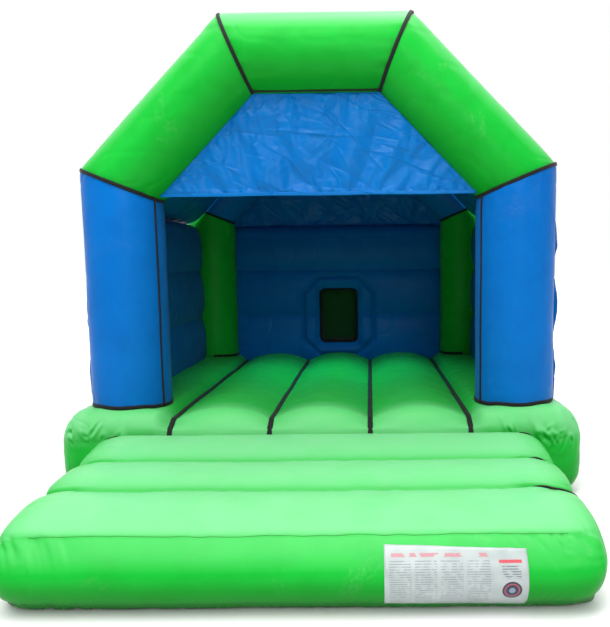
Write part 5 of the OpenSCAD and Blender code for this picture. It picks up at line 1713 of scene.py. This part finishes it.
# ------------------------------------------------------------------ deflation zip
def zip_parts():
    x0, x1, zz = 0.385, 0.885, 0.230
    # tape with a woven edge
    xs = np.linspace(x0, x1, 60)
    p = np.stack([xs, np.full(60, YE + 0.0008), np.full(60, zz)], 1)
    tp = ribbon(p, np.tile([0, 1.0, 0], (60, 1)), 0.058, 0.0022, "zip_band", BLACK, seg=10)
    put(tp, "zip_tape", slot="black_tape")
    # two interlocked coils
    obs = []
    n = 900
    t = np.linspace(0, 1, n)
    for k in (0, 1):
        turns = 150
        a = t * turns * 2 * math.pi + k * math.pi
        x = x0 + 0.016 + (x1 - x0 - 0.032) * t
        yy = YE + 0.0048 + 0.0016 * np.cos(a)
        z = zz + (-1 if k else 1) * 0.0018 + 0.0030 * np.sin(a)
        obs.append(rod(np.stack([x, yy, z], 1), 0.0006, "c", COIL, n=5))
    put(join("zip_coils", obs), "zip_teeth", slot="zip_plastic")
    # flap: a strip of cloth with a round hem over the cord
    lo, hi = bx("zip_flap")
    cy, cz = YE + 0.010, zz + 0.070
    NU = 80
    us = np.linspace(lo[0], hi[0], NU)
    prof = []
    for a in np.linspace(-200, 90 - 0, 22):
        r = math.radians(a)
        prof.append((cy + 0.0078 * math.sin(r) * 1.0, cz + 0.0078 * math.cos(r)))
    prof = [(cy + 0.0080 * math.cos(math.radians(a)), cz + 0.0080 * math.sin(math.radians(a))) for a in np.linspace(250, 0, 22)]
    for k in np.linspace(0, 1, 24)[1:]:
        prof.append((cy + 0.0080 - 0.0002 * k + 0.0006 * math.sin(k * 9), cz - 0.140 * k))
    prof = np.array(prof)
    V = np.zeros((len(prof), NU, 3))
    for j, (y, z) in enumerate(prof):
        hang = max(0.0, (cz - z) / 0.140)
        wv = 0.0006 * np.sin(us * 31 + 1) * hang
        V[j] = np.stack([us, y + wv, np.full(NU, z)], 1)
    ob = link("zip_cover_flap", V.reshape(-1, 3), tube_faces(NU, len(prof), closed_u=False), GREEN)
    so = ob.modifiers.new("thick", "SOLIDIFY")
    so.thickness = 0.0010
    so.offset = 0.0
    bpy.context.view_layer.objects.active = ob
    bpy.ops.object.modifier_apply(modifier=so.name)
    float_attr(ob, "seam_shade", np.zeros(len(ob.data.vertices)))
    put(ob, "zip_flap", slot="green_pvc", body="zip_flap")
    # cord with its two welded end tabs
    xs = np.linspace(lo[0] - 0.028, hi[0] + 0.028, 120)
    tw = 0.0006 * np.sin(xs * 700)
    cord_ = rod(np.stack([xs, cy + 0 * xs, cz + 0 * xs], 1), 0.0055, "k", BLACK, n=12)
    tabs = []
    for a, b in ((lo[0] - 0.030, lo[0] - 0.005), (hi[0] + 0.005, hi[0] + 0.030)):
        tx = np.linspace(a, b, 10)
        loop = [(YE + 0.0005, cz - 0.020), (YE + 0.003, cz - 0.018), (YE + 0.005, cz - 0.010)]
        loop += [(cy + 0.0070 * math.sin(math.radians(d)), cz - 0.0070 * math.cos(math.radians(d))) for d in np.linspace(0, 180, 14)]
        loop += [(YE + 0.005, cz + 0.010), (YE + 0.003, cz + 0.018), (YE + 0.0005, cz + 0.020)]
        L = np.array(loop)
        rings = np.zeros((10, len(L), 3))
        for k, x in enumerate(tx):
            rings[k] = np.stack([np.full(len(L), x), L[:, 0], L[:, 1]], 1)
        tabs.append(loft("t", rings, PATCH))
    ob = join("zip_flap_line", [cord_] + tabs)
    float_attr(ob, "seam_shade", np.zeros(len(ob.data.vertices)))
    put(ob, "zip_flap_cord", slot="black_tape")


zip_parts()


# ------------------------------------------------------------------ anchors
def anchors():
    patches, webs = [], []
    bz = -0.062
    bar = 0.011
    for i, (ax, ay, az, big) in enumerate(((-STEP_HALF, -1.5, 0.200, 0), (STEP_HALF, -1.5, 0.200, 0), (-HW, -0.45, 0.240, 1), (HW, -0.45, 0.240, 1), (-HW, 1.85, 0.240, 1), (HW, 1.85, 0.240, 1))):
        s = 1 if ax > 0 else -1
        R = 0.085 if big else 0.048
        th = np.linspace(0, 2 * math.pi, 64, endpoint=False)
        rings = []
        for r, h in ((0.0005, -0.004), (R, -0.004), (R, 0.0012), (R - 0.004, 0.0026), (R - 0.014, 0.0020), (0.0005, 0.0026)):
            rings.append(np.stack([np.full(64, ax + s * h), ay + r * np.cos(th), az + r * np.sin(th)], 1))
        patches.append(loft("r", np.array(rings), PATCH))
        # webbing: up from under the ring, round its bar and back, stitched down
        top = az + (0.062 if big else 0.040)
        front = [(0.0060, top - az), (0.0060, 0.0), (0.0062, bz + 0.022), (0.0085, bz + 0.012)]
        loop = [(bar + 0.0056 * math.cos(math.radians(a)), bz + 0.0056 * math.sin(math.radians(a))) for a in np.linspace(120, -120, 22)]
        back = [(0.0062, bz - 0.0035), (0.0040, bz + 0.010), (0.0036, bz + 0.03), (0.0036, top - az)]
        path = np.array(front + loop + back)
        # resample and smooth
        sl = np.concatenate([[0], np.cumsum(np.linalg.norm(np.diff(path, axis=0), axis=1))])
        q = np.linspace(0, sl[-1], 110)
        P = np.stack([np.interp(q, sl, path[:, 0]), np.interp(q, sl, path[:, 1])], 1)
        for _ in range(2):
            P[1:-1] = P[1:-1] * 0.5 + (P[:-2] + P[2:]) * 0.25
        T = np.gradient(P, axis=0)
        T /= np.linalg.norm(T, axis=1)[:, None]
        N = np.stack([T[:, 1], -T[:, 0]], 1)
        N = -N if (N[0] @ np.array([1.0, 0.0])) < 0 else N
        path3 = np.stack([ax + s * P[:, 0], np.full(len(P), ay), az + P[:, 1]], 1)
        n3 = np.stack([s * N[:, 0], 0 * N[:, 0], N[:, 1]], 1)
        webs.append(ribbon(path3, n3, 0.044, 0.0017, "w", STRAP, seg=8))
        # two stitched bars across the webbing
        for dz in (0.030, -0.012, -0.030):
            if not big and dz > 0:
                continue
            yy = np.linspace(ay - 0.019, ay + 0.019, 24)
            webs.append(rod(np.stack([np.full(24, ax + s * 0.0080), yy, az + dz + 0.0022 * np.sin(np.arange(24) * math.pi / 1.5)], 1), 0.0006, "x", STRAP, n=5))
    ob = join("anchor_pads", patches)
    float_attr(ob, "seam_shade", np.zeros(len(ob.data.vertices)))
    put(ob, "anchor_patches", slot="green_patch")
    put(join("anchor_straps", webs), "anchor_webbing", slot="black_tape")


anchors()

# CAD pieces whose shape is right: only their finish is set here
for n, mt in (("sleeve_buckle", ACETAL), ("zip_slider", ZIPMETAL)):
    nodes[n].data.materials.clear()
    nodes[n].data.materials.append(mt)
for n in nodes:
    if n.startswith("d_ring"):
        nodes[n].data.materials.clear()
        nodes[n].data.materials.append(STEEL)

# ------------------------------------------------------------------ stage and light
FLOOR, tF, bF = nt("floor")
tc = tF.nodes.new("ShaderNodeTexCoord").outputs["Object"]
tF.links.new(mix_col(tF, ramp(tF, noise_tex(tF, tc, 0.8, 3.0), 0.3, 0.7), (0.80, 0.80, 0.80, 1), (0.83, 0.83, 0.83, 1)), bF.inputs["Base Color"])
# the sweep: the floor glows more towards the back, a painted light that brightens it into the backdrop
fs = tF.nodes.new("ShaderNodeSeparateXYZ")
tF.links.new(tc, fs.inputs[0])
tF.links.new(ramp(tF, fs.outputs[1], 0.5, 9.0, 0.0, 0.62), bF.inputs["Emission Strength"])
bF.inputs["Emission Color"].default_value = (1, 1, 1, 1)
bF.inputs["Roughness"].default_value = 0.85
fv = [(-60, -60, -0.001), (60, -60, -0.001), (60, 60, -0.001), (-60, 60, -0.001)]
floor = link("floor", np.array(fv, float), [(0, 1, 2, 3)], FLOOR, smooth=False)

scene.view_settings.view_transform = "Standard"
scene.view_settings.look = "None"
scene.view_settings.exposure = 0.0
world = bpy.data.worlds.new("studio")
scene.world = world
world.use_nodes = True
tw = world.node_tree
bg = tw.nodes["Background"]
# a bright backdrop behind the castle and overhead, a dimmer room in front of it
wtc = tw.nodes.new("ShaderNodeTexCoord").outputs["Generated"]
wsep = tw.nodes.new("ShaderNodeSeparateXYZ")
tw.links.new(wtc, wsep.inputs[0])
back = ramp(tw, wsep.outputs[1], 0.05, 0.55, 0.0, 1.0)
high = ramp(tw, wsep.outputs[2], 0.35, 0.85, 0.0, 1.0)
tw.links.new(math_node(tw, "MAXIMUM", ramp(tw, back, 0.0, 1.0, 0.28, 1.0), ramp(tw, high, 0.0, 1.0, 0.28, 1.0)), bg.inputs[1])
bg.inputs[0].default_value = (1.0, 1.0, 1.0, 1)


def area(name, loc, target, size, power, color=(1, 1, 1)):
    d = bpy.data.lights.new(name, "AREA")
    d.shape = "RECTANGLE"
    d.size, d.size_y = size
    d.energy = power
    d.color = color
    o = bpy.data.objects.new(name, d)
    scene.collection.objects.link(o)
    v = Vector(target) - Vector(loc)
    o.rotation_euler = v.to_track_quat("-Z", "Y").to_euler()
    o.location = loc
    return o


area("key", (-2.5, -5.5, 7.5), (0, -0.9, 0.6), (5.0, 4.0), 330)
area("top", (0.5, -1.4, 8.5), (0, -0.9, 0.0), (8, 6), 820)
area("fill", (1.2, -7.5, 4.0), (0, 0.4, 0.5), (3, 3), 150)
# light that comes down through the thin cover onto the bed
through = area("through_cover", (0.0, 0.70, 1.76), (0.0, 0.70, 0.5), (1.7, 1.2), 9, (0.03, 0.85, 1.0))
through.data.spread = math.radians(80)
through.visible_camera = False

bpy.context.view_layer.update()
